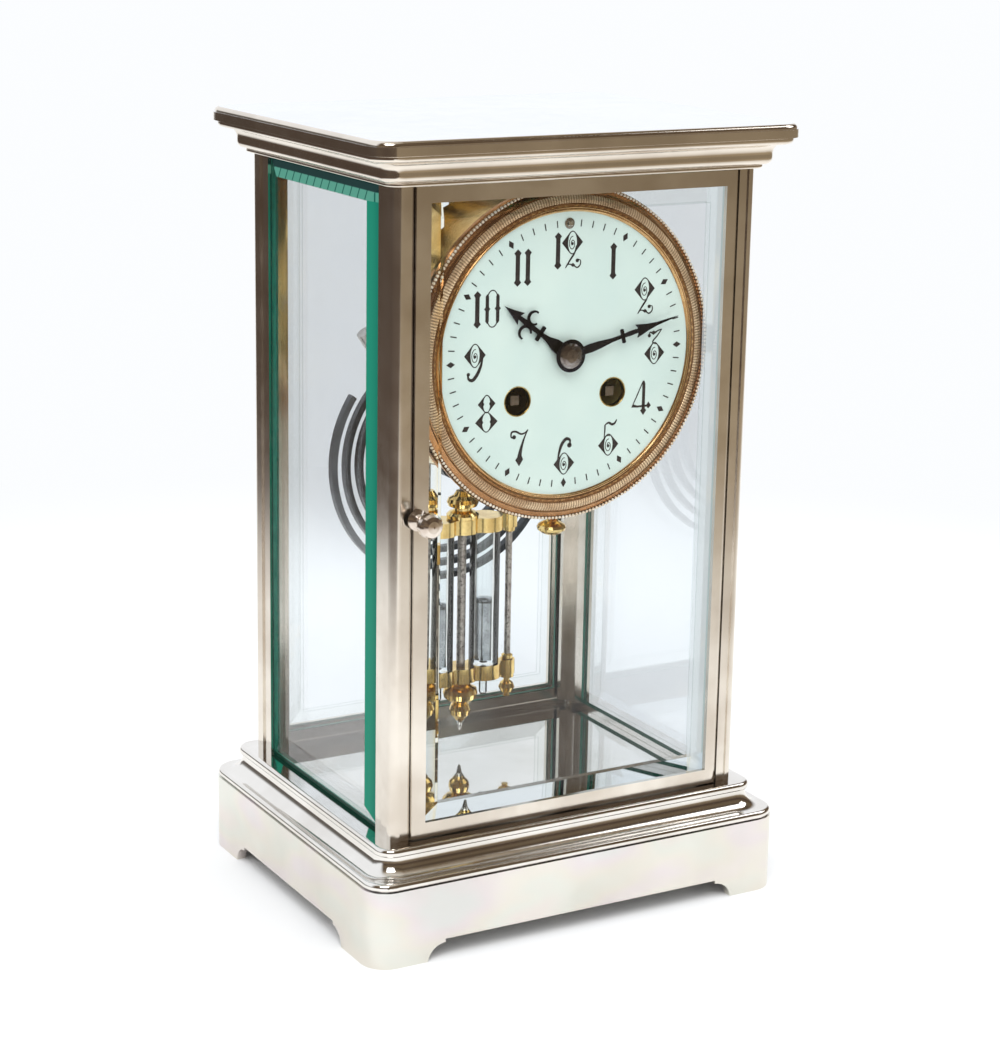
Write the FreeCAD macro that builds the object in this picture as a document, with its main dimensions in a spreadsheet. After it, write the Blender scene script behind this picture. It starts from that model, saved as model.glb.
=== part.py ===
import FreeCAD, Part
import math
import os
import re

import Sketcher
from FreeCAD import Placement, Rotation, Vector

# Four-glass mantel clock. Millimetres; origin on the floor under the middle of the
# case, +Z up, -Y towards the dial, +X to the right of someone facing the dial.

DIMENSIONS = (
    # plinth
    ("plinth_half_width", 80.6), ("plinth_half_depth", 66.4), ("plinth_height", 26.6),
    ("plinth_corner", 9.0), ("plinth_wall", 3.4), ("plinth_deck", 3.2),
    ("foot_rise", 7.0), ("foot_cove", 6.6), ("foot_lip", 1.2),
    ("foot_front_inner", 60.3), ("foot_side_inner", 42.9),
    # case body
    ("body_half_width", 68.0), ("body_half_depth", 54.0), ("case_height", 270.0),
    ("base_top", 38.5), ("cornice_bottom", 254.8),
    ("torus_reach", 12.4), ("torus_height", 2.9), ("torus_round", 1.4),
    ("throat_reach", 5.0), ("throat_height", 6.2), ("throat_round", 5.8), ("throat_corner", 6.0),
    ("bead_reach", 5.9), ("bead_round", 1.4), ("bead_foot_round", 0.7), ("bead_corner", 6.5),
    ("ledge_inset", 10.0), ("floor_inset", 4.0), ("floor_top", 36.5), ("floor_thickness", 3.0),
    # cornice and top
    ("neck_reach", 5.0), ("neck_round", 2.2), ("neck_foot_reach", 2.7), ("neck_foot_height", 1.4),
    ("neck_foot_round", 0.6), ("neck_corner", 5.5), ("cove_top", 263.2), ("cove_round", 3.6),
    ("crown_reach", 10.7), ("crown_corner", 8.5), ("crown_round", 0.4), ("crown_foot_round", 1.4),
    ("crown_top", 265.4),
    ("cornice_inset", 8.5), ("cornice_roof", 3.4),
    ("slab_half_width", 80.0), ("slab_half_depth", 65.8), ("slab_corner", 9.0),
    ("slab_step", 268.2), ("slab_step_inset", 0.5), ("slab_round", 1.6),
    # corner posts: depths inwards from the two outer faces of the case body
    ("post_corner", 3.2), ("post_step", 0.6), ("post_latch_face", 6.95), ("post_hinge_face", 6.6),
    ("post_side_bead", 6.8), ("post_side_face", 12.4), ("stop_front", 4.9), ("stop_back", 6.9),
    ("stop_reach", 10.5), ("post_inner", 7.2), ("groove_outer", 1.8), ("groove_inner", 4.2),
    ("groove_end", 10.8), ("notch_reach", 7.0), ("notch_half_height", 3.2),
    # glass
    ("side_glass_inner", 63.9), ("side_glass_rim", 1.8), ("side_glass_thickness", 3.8),
    ("side_glass_half_depth", 43.0), ("glass_gap", 0.1), ("bevel_width", 6.5), ("side_bevel", 9.0),
    # doors
    ("door_face", 54.8), ("door_back", 50.2), ("door_outer_half", 60.8),
    ("door_inner_half", 55.6), ("door_bottom", 38.9), ("door_top", 254.5),
    ("door_rail", 5.2), ("door_edge_round", 2.2), ("door_lip_back", 53.2),
    ("rebate_half", 57.0), ("pane_half", 56.75), ("pane_front", 53.1), ("pane_back", 50.6),
    ("pane_rim", 1.0), ("hinge_x", 58.6), ("hinge_y", 52.5), ("pin_radius", 0.78),
    ("pin_hole_door", 0.8), ("pin_hole_case", 0.83), ("pin_in_door", 5.0), ("pin_in_case", 3.0),
    ("knob_x", 59.6), ("knob_z", 148.0), ("knob_shaft", 0.8), ("knob_hole", 0.85),
    ("latch_length", 7.0), ("latch_half_width", 1.0), ("latch_front", 46.9), ("latch_back", 45.9),
    # case screws
    ("screw_x", 63.0), ("screw_y", 49.0), ("screw_radius", 2.0), ("screw_hole", 2.1),
    ("screw_head_radius", 4.2), ("screw_head_height", 2.8), ("screw_top", 32.0),
    # dial side of the movement; depths are distances in front of the back plate's rear face
    ("dial_height", 195.5), ("drum_outer", 48.0), ("drum_inner", 46.8), ("drum_front", 41.5),
    ("drum_rear", 3.0), ("bezel_radius", 56.2), ("bezel_back", 41.7), ("bezel_front", 46.9),
    ("dial_radius", 48.6), ("dial_face", 46.0), ("dial_thickness", 1.6), ("dial_centre_hole", 3.4),
    ("winding_hole", 4.8), ("regulator_hole", 1.2), ("regulator_z", 43.4),
    ("bracket_half_height", 4.75), ("bracket_front", 41.4), ("bracket_back", 39.9),
    ("bracket_tab_back", 47.0), ("drum_knob_y", 38.9),
    # movement frame
    ("plate_radius", 45.5), ("front_plate_front", 30.0), ("front_plate_back", 28.0),
    ("back_plate_front", 2.0), ("pillar_ring", 40.0), ("pillar_radius", 2.5), ("pillar_waist", 1.9),
    ("dial_pillar_radius", 1.5), ("pivot_radius", 0.6), ("pivot_hole", 0.65),
    # arbor places, measured from the dial centre
    ("barrel_x", 18.3), ("barrel_z", -14.2), ("intermediate_x", 13.72), ("intermediate_z", 5.44),
    ("third_x", -6.5), ("third_z", 12.0), ("escape_z", 22.96), ("pallet_z", 33.9),
    ("minute_wheel_z", 8.4),
    ("second_x", -20.06), ("second_z", 5.88), ("pin_wheel_x", -22.46), ("pin_wheel_z", 19.47),
    ("warning_x", -13.18), ("warning_z", 22.85), ("fly_x", -9.56), ("fly_z", 29.12),
    ("hammer_x", -33.0), ("hammer_z", 17.0),
    # barrels, arbors and ratchets
    ("barrel_radius", 16.2), ("barrel_wall", 1.0), ("barrel_front", 24.6), ("great_front", 9.4),
    ("great_back", 7.8), ("arbor_radius", 2.2), ("arbor_bore", 2.25), ("arbor_pivot", 1.5),
    ("arbor_pivot_hole", 1.55), ("square_half", 1.6), ("square_front", 44.2), ("square_back", 33.0),
    ("ratchet_radius", 7.0), ("ratchet_front", 32.0), ("ratchet_back", 30.8),
    ("spring_inner", 3.2), ("spring_outer", 14.4), ("spring_strip", 0.45),
    # motion work and hands
    ("centre_arbor_radius", 1.3), ("cannon_pipe", 1.9), ("hour_bore", 1.95), ("hour_pipe", 3.0),
    ("stud_radius", 0.95), ("stud_bore", 1.0),
    ("hour_hand_front", 47.5), ("hour_hand_back", 46.9), ("minute_hand_front", 48.7),
    ("minute_hand_back", 48.1), ("hour_hand_length", 30.0), ("minute_hand_length", 43.4),
    ("hour_hand_angle", 306.4), ("minute_hand_angle", 76.3), ("collet_front", 49.9), ("collet_radius", 5.5),
    # pendulum
    ("pendulum_y", 23.0), ("swing_height", 229.4), ("rod_radius", 1.2), ("centre_rod_radius", 1.6),
    ("jar_x", 9.5), ("jar_radius", 5.5), ("jar_bore", 4.7), ("nipple_radius", 1.5),
    ("side_rod_x", 19.5), ("side_rod_radius", 1.2), ("yoke_height", 5.4), ("upper_yoke_z", 118.6),
    ("lower_yoke_z", 62.7), ("mercury_level", 92.5),
    # gong
    ("gong_x", 2.0), ("gong_z", 142.0), ("gong_outer", 47.0), ("gong_pitch", 5.4),
    ("gong_turns", 4.0), ("gong_strip", 2.2), ("gong_front", 38.5), ("gong_back", 41.5),
    ("gong_foot_x", 22.0), ("gong_foot_z", 170.5),
)

doc = FreeCAD.newDocument("MantelClock")
sheet = doc.addObject("Spreadsheet::Sheet", "Dims")
for number, (alias, amount) in enumerate(DIMENSIONS, start=1):
    sheet.set("A%d" % number, alias)
    sheet.set("B%d" % number, str(amount))
    sheet.setAlias("B%d" % number, alias)
doc.recompute()

ALIASES = re.compile(r"\b(" + "|".join(alias for alias, _ in DIMENSIONS) + r")\b")
nodes = []


def qualified(expression):
    """The expression with every alias written as a cell of the sheet."""
    return ALIASES.sub(r"Dims.\1", str(expression))


def size(expression):
    """The expression's value in millimetres (or degrees, or a count)."""
    return float(sheet.evalExpression(qualified(expression)))


def bind(target, prop, expression):
    target.setExpression(prop, qualified(expression))


def keep(item, label):
    """Mark a document object as the finished sub-part of that name."""
    item.Label = label
    nodes.append(item)
    return item


# ---------------------------------------------------------------- sketches and bodies

def new_body(name):
    return doc.addObject("PartDesign::Body", name)


def place(item, x="0", y="0", z="0"):
    for axis, expression in (("x", x), ("y", y), ("z", z)):
        bind(item, "Placement.Base." + axis, expression)


def new_sketch(body, name, role, offset="0"):
    """A sketch on one of the body's origin planes, lifted along that plane's normal."""
    sketch = body.newObject("Sketcher::SketchObject", name)
    plane = [item for item in body.Origin.OriginFeatures if item.Role == role][0]
    sketch.AttachmentSupport = [(plane, "")]
    sketch.MapMode = "FlatFace"
    bind(sketch, "AttachmentOffset.Base.z", offset)
    return sketch


def fix_point(sketch, geometry, end, x, y):
    """Tie one sketch point to two expressions."""
    for kind, expression, axis in (("DistanceX", x, -2), ("DistanceY", y, -1)):
        amount = size(expression)
        if abs(amount) < 1e-9:
            sketch.addConstraint(Sketcher.Constraint("PointOnObject", geometry, end, axis))
            continue
        index = sketch.addConstraint(Sketcher.Constraint(kind, -1, 1, geometry, end, amount))
        bind(sketch, "Constraints[%d]" % index, expression)


def outline(body, name, role, points, offset="0"):
    """A closed outline. A point is (x, y), or (x, y, radius) where an arc of that radius
    leaves it: counter-clockwise when the radius is positive, clockwise when negative."""
    sketch = new_sketch(body, name, role, offset)
    corners = [Vector(size(point[0]), size(point[1]), 0) for point in points]
    starts = []
    finishes = []
    for index, point in enumerate(points):
        here = corners[index]
        there = corners[(index + 1) % len(points)]
        if len(point) == 2:
            sketch.addGeometry(Part.LineSegment(here, there))
            starts.append(1)
            finishes.append(2)
            continue
        radius = size(point[2])
        turn = 1 if radius > 0 else -1
        chord = there - here
        normal = Vector(-chord.y, chord.x, 0).normalize()
        height = math.sqrt(max(radius * radius - chord.Length ** 2 / 4, 0))
        centre = (here + there) * 0.5 + normal * (height * turn)
        first, last = (here, there) if turn > 0 else (there, here)
        begin = math.atan2(first.y - centre.y, first.x - centre.x)
        end = math.atan2(last.y - centre.y, last.x - centre.x)
        circle = Part.Circle(centre, Vector(0, 0, 1), abs(radius))
        sketch.addGeometry(Part.ArcOfCircle(circle, begin, end if end > begin else end + 2 * math.pi))
        bound = sketch.addConstraint(Sketcher.Constraint("Radius", index, abs(radius)))
        bind(sketch, "Constraints[%d]" % bound, "abs(%s)" % point[2])
        starts.append(1 if turn > 0 else 2)
        finishes.append(2 if turn > 0 else 1)
    for index, point in enumerate(points):
        following = (index + 1) % len(points)
        joint = Sketcher.Constraint("Coincident", index, finishes[index], following, starts[following])
        sketch.addConstraint(joint)
        fix_point(sketch, index, starts[index], point[0], point[1])
    return sketch


def circles(body, name, role, rings, offset="0"):
    """A sketch of whole circles, each (x, y, radius)."""
    sketch = new_sketch(body, name, role, offset)
    for index, (x, y, radius) in enumerate(rings):
        centre = Vector(size(x), size(y), 0)
        sketch.addGeometry(Part.Circle(centre, Vector(0, 0, 1), size(radius)))
        bound = sketch.addConstraint(Sketcher.Constraint("Radius", index, size(radius)))
        bind(sketch, "Constraints[%d]" % bound, radius)
        fix_point(sketch, index, 3, x, y)
    return sketch


def rectangle(body, name, role, low_x, high_x, low_y, high_y, offset="0"):
    points = ((low_x, low_y), (high_x, low_y), (high_x, high_y), (low_x, high_y))
    return outline(body, name, role, points, offset)


def rounded(body, name, half_x, half_y, corner, offset="0"):
    """A rounded rectangle about the Z axis, at a height."""
    flat_x = "(%s - %s)" % (half_x, corner)
    flat_y = "(%s - %s)" % (half_y, corner)
    points = (
        ("-" + flat_x, "-(%s)" % half_y), (flat_x, "-(%s)" % half_y, corner),
        (half_x, "-" + flat_y), (half_x, flat_y, corner),
        (flat_x, half_y), ("-" + flat_x, half_y, corner),
        ("-(%s)" % half_x, flat_y), ("-(%s)" % half_x, "-" + flat_y, corner),
    )
    return outline(body, name, "XY_Plane", points, offset)


def pad(body, sketch, length, reverse=False):
    feature = body.newObject("PartDesign::Pad", sketch.Name + "_pad")
    feature.Profile = sketch
    feature.Reversed = reverse
    bind(feature, "Length", length)
    doc.recompute()
    return feature


def pocket(body, sketch, length=None, reverse=False):
    """A cut of that length along the sketch's normal side chosen, or right through."""
    before = body.Shape.Volume
    feature = body.newObject("PartDesign::Pocket", sketch.Name + "_cut")
    feature.Profile = sketch
    feature.Reversed = reverse
    if length is None:
        feature.Type = "ThroughAll"
        feature.SideType = "Symmetric"
    else:
        bind(feature, "Length", length)
    doc.recompute()
    if body.Shape.Volume > before - 1e-6:
        raise ValueError(sketch.Name + " cuts nothing")
    return feature


def revolve(body, sketch, axis):
    feature = body.newObject("PartDesign::Revolution", sketch.Name + "_turned")
    feature.Profile = sketch
    feature.ReferenceAxis = (sketch, [axis])
    feature.Angle = 360
    doc.recompute()
    return feature


def loft(body, first, second):
    feature = body.newObject("PartDesign::AdditiveLoft", first.Name + "_loft")
    feature.Profile = first
    feature.Sections = [second]
    feature.Ruled = True
    doc.recompute()
    return feature


def fillet(body, radius, chosen):
    """Round the edges of the body's tip for which chosen(edge) holds."""
    base = body.Tip
    names = ["Edge%d" % (index + 1) for index, edge in enumerate(base.Shape.Edges) if chosen(edge)]
    feature = body.newObject("PartDesign::Fillet", base.Name + "_round")
    feature.Base = (base, names)
    bind(feature, "Radius", radius)
    doc.recompute()
    return feature


def level(height, reach_x=None):
    """A test for edges that lie at one height, and that reach out to at least a width."""
    def chosen(edge):
        box = edge.BoundBox
        flat = abs(box.ZMin - height) < 1e-4 and abs(box.ZMax - height) < 1e-4
        return flat and (reach_x is None or reach_x(box))
    return chosen


def outermost(half_x, half_y, corner):
    """A test for the edges that lie on the outline of a rounded rectangle."""
    def reaches(box):
        far_x = max(abs(box.XMin), abs(box.XMax))
        far_y = max(abs(box.YMin), abs(box.YMax))
        within = far_x < half_x + 1e-3 and far_y < half_y + 1e-3
        past_flats = far_x > half_x - corner - 1e-3 and far_y > half_y - corner - 1e-3
        return within and past_flats and (far_x > half_x - 1e-3 or far_y > half_y - 1e-3)
    return reaches


def turned_upright(label, profile, x="0", y="0"):
    """A part turned about a vertical line. The profile's points are (radius, height)."""
    body = new_body(label)
    revolve(body, outline(body, label + "_profile", "XZ_Plane", profile), "V_Axis")
    place(body, x, y)
    return keep(body, label)


def turned_level(label, profile, x="0", z="0"):
    """A part turned about a line along Y. The profile's points are (depth, radius)."""
    body = new_body(label)
    revolve(body, outline(body, label + "_profile", "YZ_Plane", profile), "H_Axis")
    place(body, x, "0", z)
    return keep(body, label)


# ---------------------------------------------------------------- case

def plinth():
    body = new_body("plinth")
    pad(body, rounded(body, "plinth_plan", "plinth_half_width", "plinth_half_depth",
                      "plinth_corner"), "plinth_height")
    pocket(body, rounded(body, "plinth_hollow", "(plinth_half_width - plinth_wall)",
                         "(plinth_half_depth - plinth_wall)", "(plinth_corner - plinth_wall)"),
           "plinth_height - plinth_deck", reverse=True)
    for name, role, inner in (("front_cutout", "XZ_Plane", "foot_front_inner"),
                              ("side_cutout", "YZ_Plane", "foot_side_inner")):
        shoulder = "(%s - foot_cove)" % inner
        points = (
            ("-" + inner, "-1"), (inner, "-1"), (inner, "0", "foot_cove"),
            (shoulder, "foot_rise - foot_lip"), (shoulder, "foot_rise"),
            ("-" + shoulder, "foot_rise"), ("-" + shoulder, "foot_rise - foot_lip", "foot_cove"),
            ("-" + inner, "0"),
        )
        pocket(body, outline(body, name, role, points))
    corners = [(sx + "screw_x", sy + "screw_y", "screw_hole") for sx in ("", "-") for sy in ("", "-")]
    pocket(body, circles(body, "plinth_screw_holes", "XY_Plane", corners))
    return keep(body, "plinth")


def base_moulding():
    body = new_body("base_moulding")
    layers = (
        ("torus", "plinth_height", "torus_height", "torus_reach", "plinth_corner",
         "torus_round", "torus_round"),
        ("throat", "(plinth_height + torus_height)", "throat_height", "throat_reach", "throat_corner",
         "throat_round", None),
        ("bead", "(plinth_height + torus_height + throat_height)",
         "(base_top - plinth_height - torus_height - throat_height)", "bead_reach", "bead_corner",
         "bead_foot_round", "bead_round"),
    )
    for name, bottom, height, reach, corner, low_round, high_round in layers:
        half_x = "(body_half_width + %s)" % reach
        half_y = "(body_half_depth + %s)" % reach
        pad(body, rounded(body, name, half_x, half_y, corner, bottom), height)
        rim = outermost(size(half_x), size(half_y), size(corner))
        fillet(body, low_round, level(size(bottom), rim))
        if high_round:
            fillet(body, high_round, level(size(bottom) + size(height), rim))
    pocket(body, rounded(body, "base_well", "(body_half_width - ledge_inset)",
                         "(body_half_depth - ledge_inset)", "post_corner"))
    pocket(body, rounded(body, "floor_seat", "(body_half_width - floor_inset)",
                         "(body_half_depth - floor_inset)", "post_corner",
                         "floor_top - floor_thickness"), "20", reverse=True)
    corners = [(sx + "screw_x", sy + "screw_y", "screw_hole") for sx in ("", "-") for sy in ("", "-")]
    pocket(body, circles(body, "base_screw_holes", "XY_Plane", corners, "plinth_height - 1"),
           "screw_top - plinth_height + 1.2", reverse=True)
    hinges = (("hinge_x", "-hinge_y", "pin_hole_case"), ("-hinge_x", "hinge_y", "pin_hole_case"))
    pocket(body, circles(body, "base_hinge_holes", "XY_Plane", hinges, "base_top + 1"),
           "pin_in_case + 1.2")
    return keep(body, "base_moulding")


def floor_plate():
    body = new_body("floor_plate")
    pad(body, rounded(body, "floor_plan", "(body_half_width - floor_inset - 0.1)",
                      "(body_half_depth - floor_inset - 0.1)", "post_corner",
                      "floor_top - floor_thickness"), "floor_thickness")
    return keep(body, "floor_plate")


def corner_post(label, side, facing, notched):
    """side is -1 on the left and facing is -1 at the front. The notched posts take a latch, and
    the others stand by a door's hinges, where the door needs more room to swing."""
    body = new_body(label)
    face = "post_latch_face" if notched else "post_hinge_face"

    def at(inwards_x, inwards_y):
        return ("%d * (body_half_width - %s)" % (side, inwards_x),
                "%d * (body_half_depth - %s)" % (facing, inwards_y))

    bend = "%d * post_corner" % (side * facing)
    points = [
        at("0", "post_corner") + (bend,), at("post_corner", "0"),
        at("post_corner", "post_step"), at(face, "post_step"),
        at(face, "stop_front"), at("stop_reach", "stop_front"),
        at("stop_reach", "stop_back"), at("post_inner", "stop_back"),
        at("post_inner", "post_side_face"), at("groove_inner", "post_side_face"),
        at("groove_inner", "groove_end"), at("groove_outer", "groove_end"),
        at("groove_outer", "post_side_face"), at("post_step", "post_side_face"),
        at("post_step", "post_side_bead"), at("0", "post_side_bead"),
    ]
    pad(body, outline(body, label + "_section", "XY_Plane", points, "base_top"),
        "cornice_bottom - base_top")
    if notched:
        low, high = sorted((at("notch_reach", "0")[0], at("(stop_reach + 1)", "0")[0]), key=size)
        near, far = sorted((at("0", "(stop_front - 1)")[1], at("0", "(post_side_face + 1)")[1]), key=size)
        pocket(body, rectangle(body, label + "_notch", "XY_Plane", low, high, near, far,
                               "knob_z - notch_half_height"), "2 * notch_half_height", reverse=True)
    return keep(body, label)


def cornice():
    body = new_body("cornice")
    foot_x = "(body_half_width + neck_foot_reach)"
    foot_y = "(body_half_depth + neck_foot_reach)"
    pad(body, rounded(body, "neck_foot", foot_x, foot_y, "neck_corner", "cornice_bottom"),
        "neck_foot_height")
    rim = outermost(size(foot_x), size(foot_y), size("neck_corner"))
    heights = (size("cornice_bottom"), size("cornice_bottom + neck_foot_height"))
    fillet(body, "neck_foot_round", lambda edge: any(level(z, rim)(edge) for z in heights))
    neck_x = "(body_half_width + neck_reach)"
    neck_y = "(body_half_depth + neck_reach)"
    pad(body, rounded(body, "neck", neck_x, neck_y, "neck_corner",
                      "(cornice_bottom + neck_foot_height)"),
        "cove_top - cornice_bottom - neck_foot_height")
    neck_rim = outermost(size(neck_x), size(neck_y), size("neck_corner"))
    fillet(body, "neck_round", level(size("cornice_bottom + neck_foot_height"), neck_rim))
    crown_x = "(body_half_width + crown_reach)"
    crown_y = "(body_half_depth + crown_reach)"
    pad(body, rounded(body, "crown", crown_x, crown_y, "crown_corner", "cove_top"),
        "crown_top - cove_top")
    fillet(body, "cove_round", level(size("cove_top"), neck_rim))
    crown_rim = outermost(size(crown_x), size(crown_y), size("crown_corner"))
    fillet(body, "crown_foot_round", level(size("cove_top"), crown_rim))
    fillet(body, "crown_round", level(size("crown_top"), crown_rim))
    pocket(body, rounded(body, "cornice_hollow", "(body_half_width - cornice_inset)",
                         "(body_half_depth - cornice_inset)", "post_corner",
                         "cornice_bottom - 1"),
           "crown_top - cornice_roof - cornice_bottom + 1", reverse=True)
    hinges = (("hinge_x", "-hinge_y", "pin_hole_case"), ("-hinge_x", "hinge_y", "pin_hole_case"))
    pocket(body, circles(body, "cornice_hinge_holes", "XY_Plane", hinges, "cornice_bottom - 1"),
           "pin_in_case + 1.2", reverse=True)
    return keep(body, "cornice")


def top_plate():
    body = new_body("top_plate")
    pad(body, rounded(body, "slab", "slab_half_width", "slab_half_depth", "slab_corner",
                      "crown_top"), "slab_step - crown_top")
    upper_x = "(slab_half_width - slab_step_inset)"
    upper_y = "(slab_half_depth - slab_step_inset)"
    upper_corner = "(slab_corner - slab_step_inset)"
    pad(body, rounded(body, "slab_top", upper_x, upper_y, upper_corner, "slab_step"),
        "case_height - slab_step")
    rim = outermost(size(upper_x), size(upper_y), size(upper_corner))
    fillet(body, "slab_round", level(size("case_height"), rim))
    return keep(body, "top_plate")


def side_glass(label, side):
    """A thick plate bevelled round its outer face, wider up the two sides than along the ends."""
    body = new_body(label)
    low, high = "base_top + glass_gap", "cornice_bottom - glass_gap"
    half = "side_glass_half_depth"
    inner = "%d * side_glass_inner" % side
    rim = "%d * (side_glass_inner + side_glass_rim)" % side
    face = "%d * (side_glass_inner + side_glass_thickness)" % side
    pad(body, rectangle(body, label + "_rim", "YZ_Plane", "-" + half, half, low, high, inner),
        "side_glass_rim", reverse=side < 0)
    foot = rectangle(body, label + "_foot", "YZ_Plane", "-" + half, half, low, high, rim)
    flat = rectangle(body, label + "_flat", "YZ_Plane", "side_bevel - " + half,
                     half + " - side_bevel", low + " + bevel_width", high + " - bevel_width", face)
    loft(body, foot, flat)
    return keep(body, label)


def door(prefix, facing):
    """A glazed door: facing -1 is the front one. It hangs on the right-hand side of someone
    who stands in front of it, and the knob is on their left."""
    hinge_x = "%d * hinge_x" % -facing
    hinge_y = "%d * hinge_y" % facing
    knob_x = "%d * knob_x" % facing
    body = new_body(prefix + "_door_frame")
    outwards = facing > 0
    # a sketch on the XZ plane has its normal towards -Y
    face = "%d * door_face" % -facing
    back = "%d * door_back" % -facing
    pad(body, rectangle(body, prefix + "_door_plan", "XZ_Plane", "-door_outer_half",
                        "door_outer_half", "door_bottom", "door_top", back),
        "door_face - door_back", reverse=outwards)
    edge_x = size(hinge_x) + (size("door_outer_half") - size("hinge_x")) * -facing
    fillet(body, "door_edge_round", lambda edge: edge.BoundBox.ZLength > 200
           and abs(edge.BoundBox.XMin - edge_x) < 0.01)
    pocket(body, rectangle(body, prefix + "_door_opening", "XZ_Plane", "-door_inner_half",
                           "door_inner_half", "door_bottom + door_rail", "door_top - door_rail"))
    grip = "(rebate_half - door_inner_half)"
    pocket(body, rectangle(body, prefix + "_door_rebate", "XZ_Plane", "-rebate_half", "rebate_half",
                           "door_bottom + door_rail - " + grip, "door_top - door_rail + " + grip,
                           back), "door_lip_back - door_back", reverse=not outwards)
    for name, height, upwards in (("_top_pin_hole", "door_top + 1", False),
                                  ("_bottom_pin_hole", "door_bottom - 1", True)):
        ring = ((hinge_x, hinge_y, "pin_hole_door"),)
        pocket(body, circles(body, prefix + name, "XY_Plane", ring, height),
               "pin_in_door + 1.2", reverse=upwards)
    pocket(body, circles(body, prefix + "_knob_hole", "XZ_Plane", ((knob_x, "knob_z", "knob_hole"),),
                         face), "door_face - door_back + 1", reverse=outwards)
    keep(body, prefix + "_door_frame")

    pane = new_body(prefix + "_door_glass")
    low = "door_bottom + door_rail - (pane_half - door_inner_half)"
    high = "door_top - door_rail + (pane_half - door_inner_half)"
    inner = "%d * pane_back" % -facing
    rim = "%d * (pane_back + pane_rim)" % -facing
    front = "%d * pane_front" % -facing
    pad(pane, rectangle(pane, prefix + "_pane_rim", "XZ_Plane", "-pane_half", "pane_half", low,
                        high, inner), "pane_rim", reverse=outwards)
    foot = rectangle(pane, prefix + "_pane_foot", "XZ_Plane", "-pane_half", "pane_half", low, high, rim)
    flat = rectangle(pane, prefix + "_pane_flat", "XZ_Plane", "bevel_width - pane_half",
                     "pane_half - bevel_width", low + " + bevel_width", high + " - bevel_width", front)
    loft(pane, foot, flat)
    keep(pane, prefix + "_door_glass")

    pins = []
    for name, bottom in (("_upper_pin", "door_top - pin_in_door"),
                         ("_lower_pin", "base_top - pin_in_case")):
        pin = doc.addObject("Part::Cylinder", prefix + name)
        bind(pin, "Radius", "pin_radius")
        gap = "(door_bottom - base_top)" if "lower" in name else "(cornice_bottom - door_top)"
        bind(pin, "Height", "pin_in_door + pin_in_case + " + gap)
        place(pin, hinge_x, hinge_y, bottom)
        pins.append(pin)
    group = doc.addObject("Part::Compound", prefix + "_door_hinge_pins")
    group.Links = pins
    keep(group, prefix + "_door_hinge_pins")

    knob = new_body(prefix + "_door_knob")
    profile = (
        ("latch_back", "0"), ("latch_back", "knob_shaft"), ("door_face + 0.1", "knob_shaft"),
        ("door_face + 0.1", "3.5"), ("door_face + 0.9", "3.5"), ("door_face + 1.6", "2.3"),
        ("door_face + 2.4", "1.7"), ("door_face + 5.0", "1.7"), ("door_face + 6.0", "3.0"),
        ("door_face + 6.7", "3.8"), ("door_face + 7.6", "4.1"), ("door_face + 9.6", "4.1"),
        ("door_face + 10.6", "3.4"), ("door_face + 11.2", "2.0"), ("door_face + 11.4", "0"),
    )
    turned = [("%d * (%s)" % (facing, depth), radius) for depth, radius in profile]
    revolve(knob, outline(knob, prefix + "_knob_profile", "YZ_Plane", turned), "H_Axis")
    reach = sorted(("%d * latch_length" % -facing, "%d * latch_half_width" % facing), key=size)
    pad(knob, rectangle(knob, prefix + "_latch", "XZ_Plane", reach[0], reach[1],
                        "-latch_half_width", "latch_half_width", "%d * latch_back" % -facing),
        "latch_front - latch_back", reverse=outwards)
    place(knob, knob_x, "0", "knob_z")
    keep(knob, prefix + "_door_knob")


def case_screws():
    parts = []
    for sx in ("", "-"):
        for sy in ("", "-"):
            shank = doc.addObject("Part::Cylinder", "screw_shank")
            bind(shank, "Radius", "screw_radius")
            bind(shank, "Height", "screw_top - plinth_height + plinth_deck")
            place(shank, sx + "screw_x", sy + "screw_y", "plinth_height - plinth_deck")
            head = doc.addObject("Part::Cylinder", "screw_head")
            bind(head, "Radius", "screw_head_radius")
            bind(head, "Height", "screw_head_height")
            place(head, sx + "screw_x", sy + "screw_y", "plinth_height - plinth_deck - screw_head_height")
            screw = doc.addObject("Part::Fuse", "case_screw")
            screw.Base = shank
            screw.Tool = head
            parts.append(screw)
    group = doc.addObject("Part::Compound", "case_screws")
    group.Links = parts
    keep(group, "case_screws")


# ---------------------------------------------------------------- dial, drum and plates

def disc_plate(label, radius, holes, front, back):
    """A round plate about the dial centre with round holes, between two depths."""
    body = new_body(label)
    rings = [("0", "0", radius)] + list(holes)
    pad(body, circles(body, label + "_plan", "XZ_Plane", rings, front), "%s - (%s)" % (front, back),
        reverse=True)
    place(body, "0", "0", "dial_height")
    return body


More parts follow.
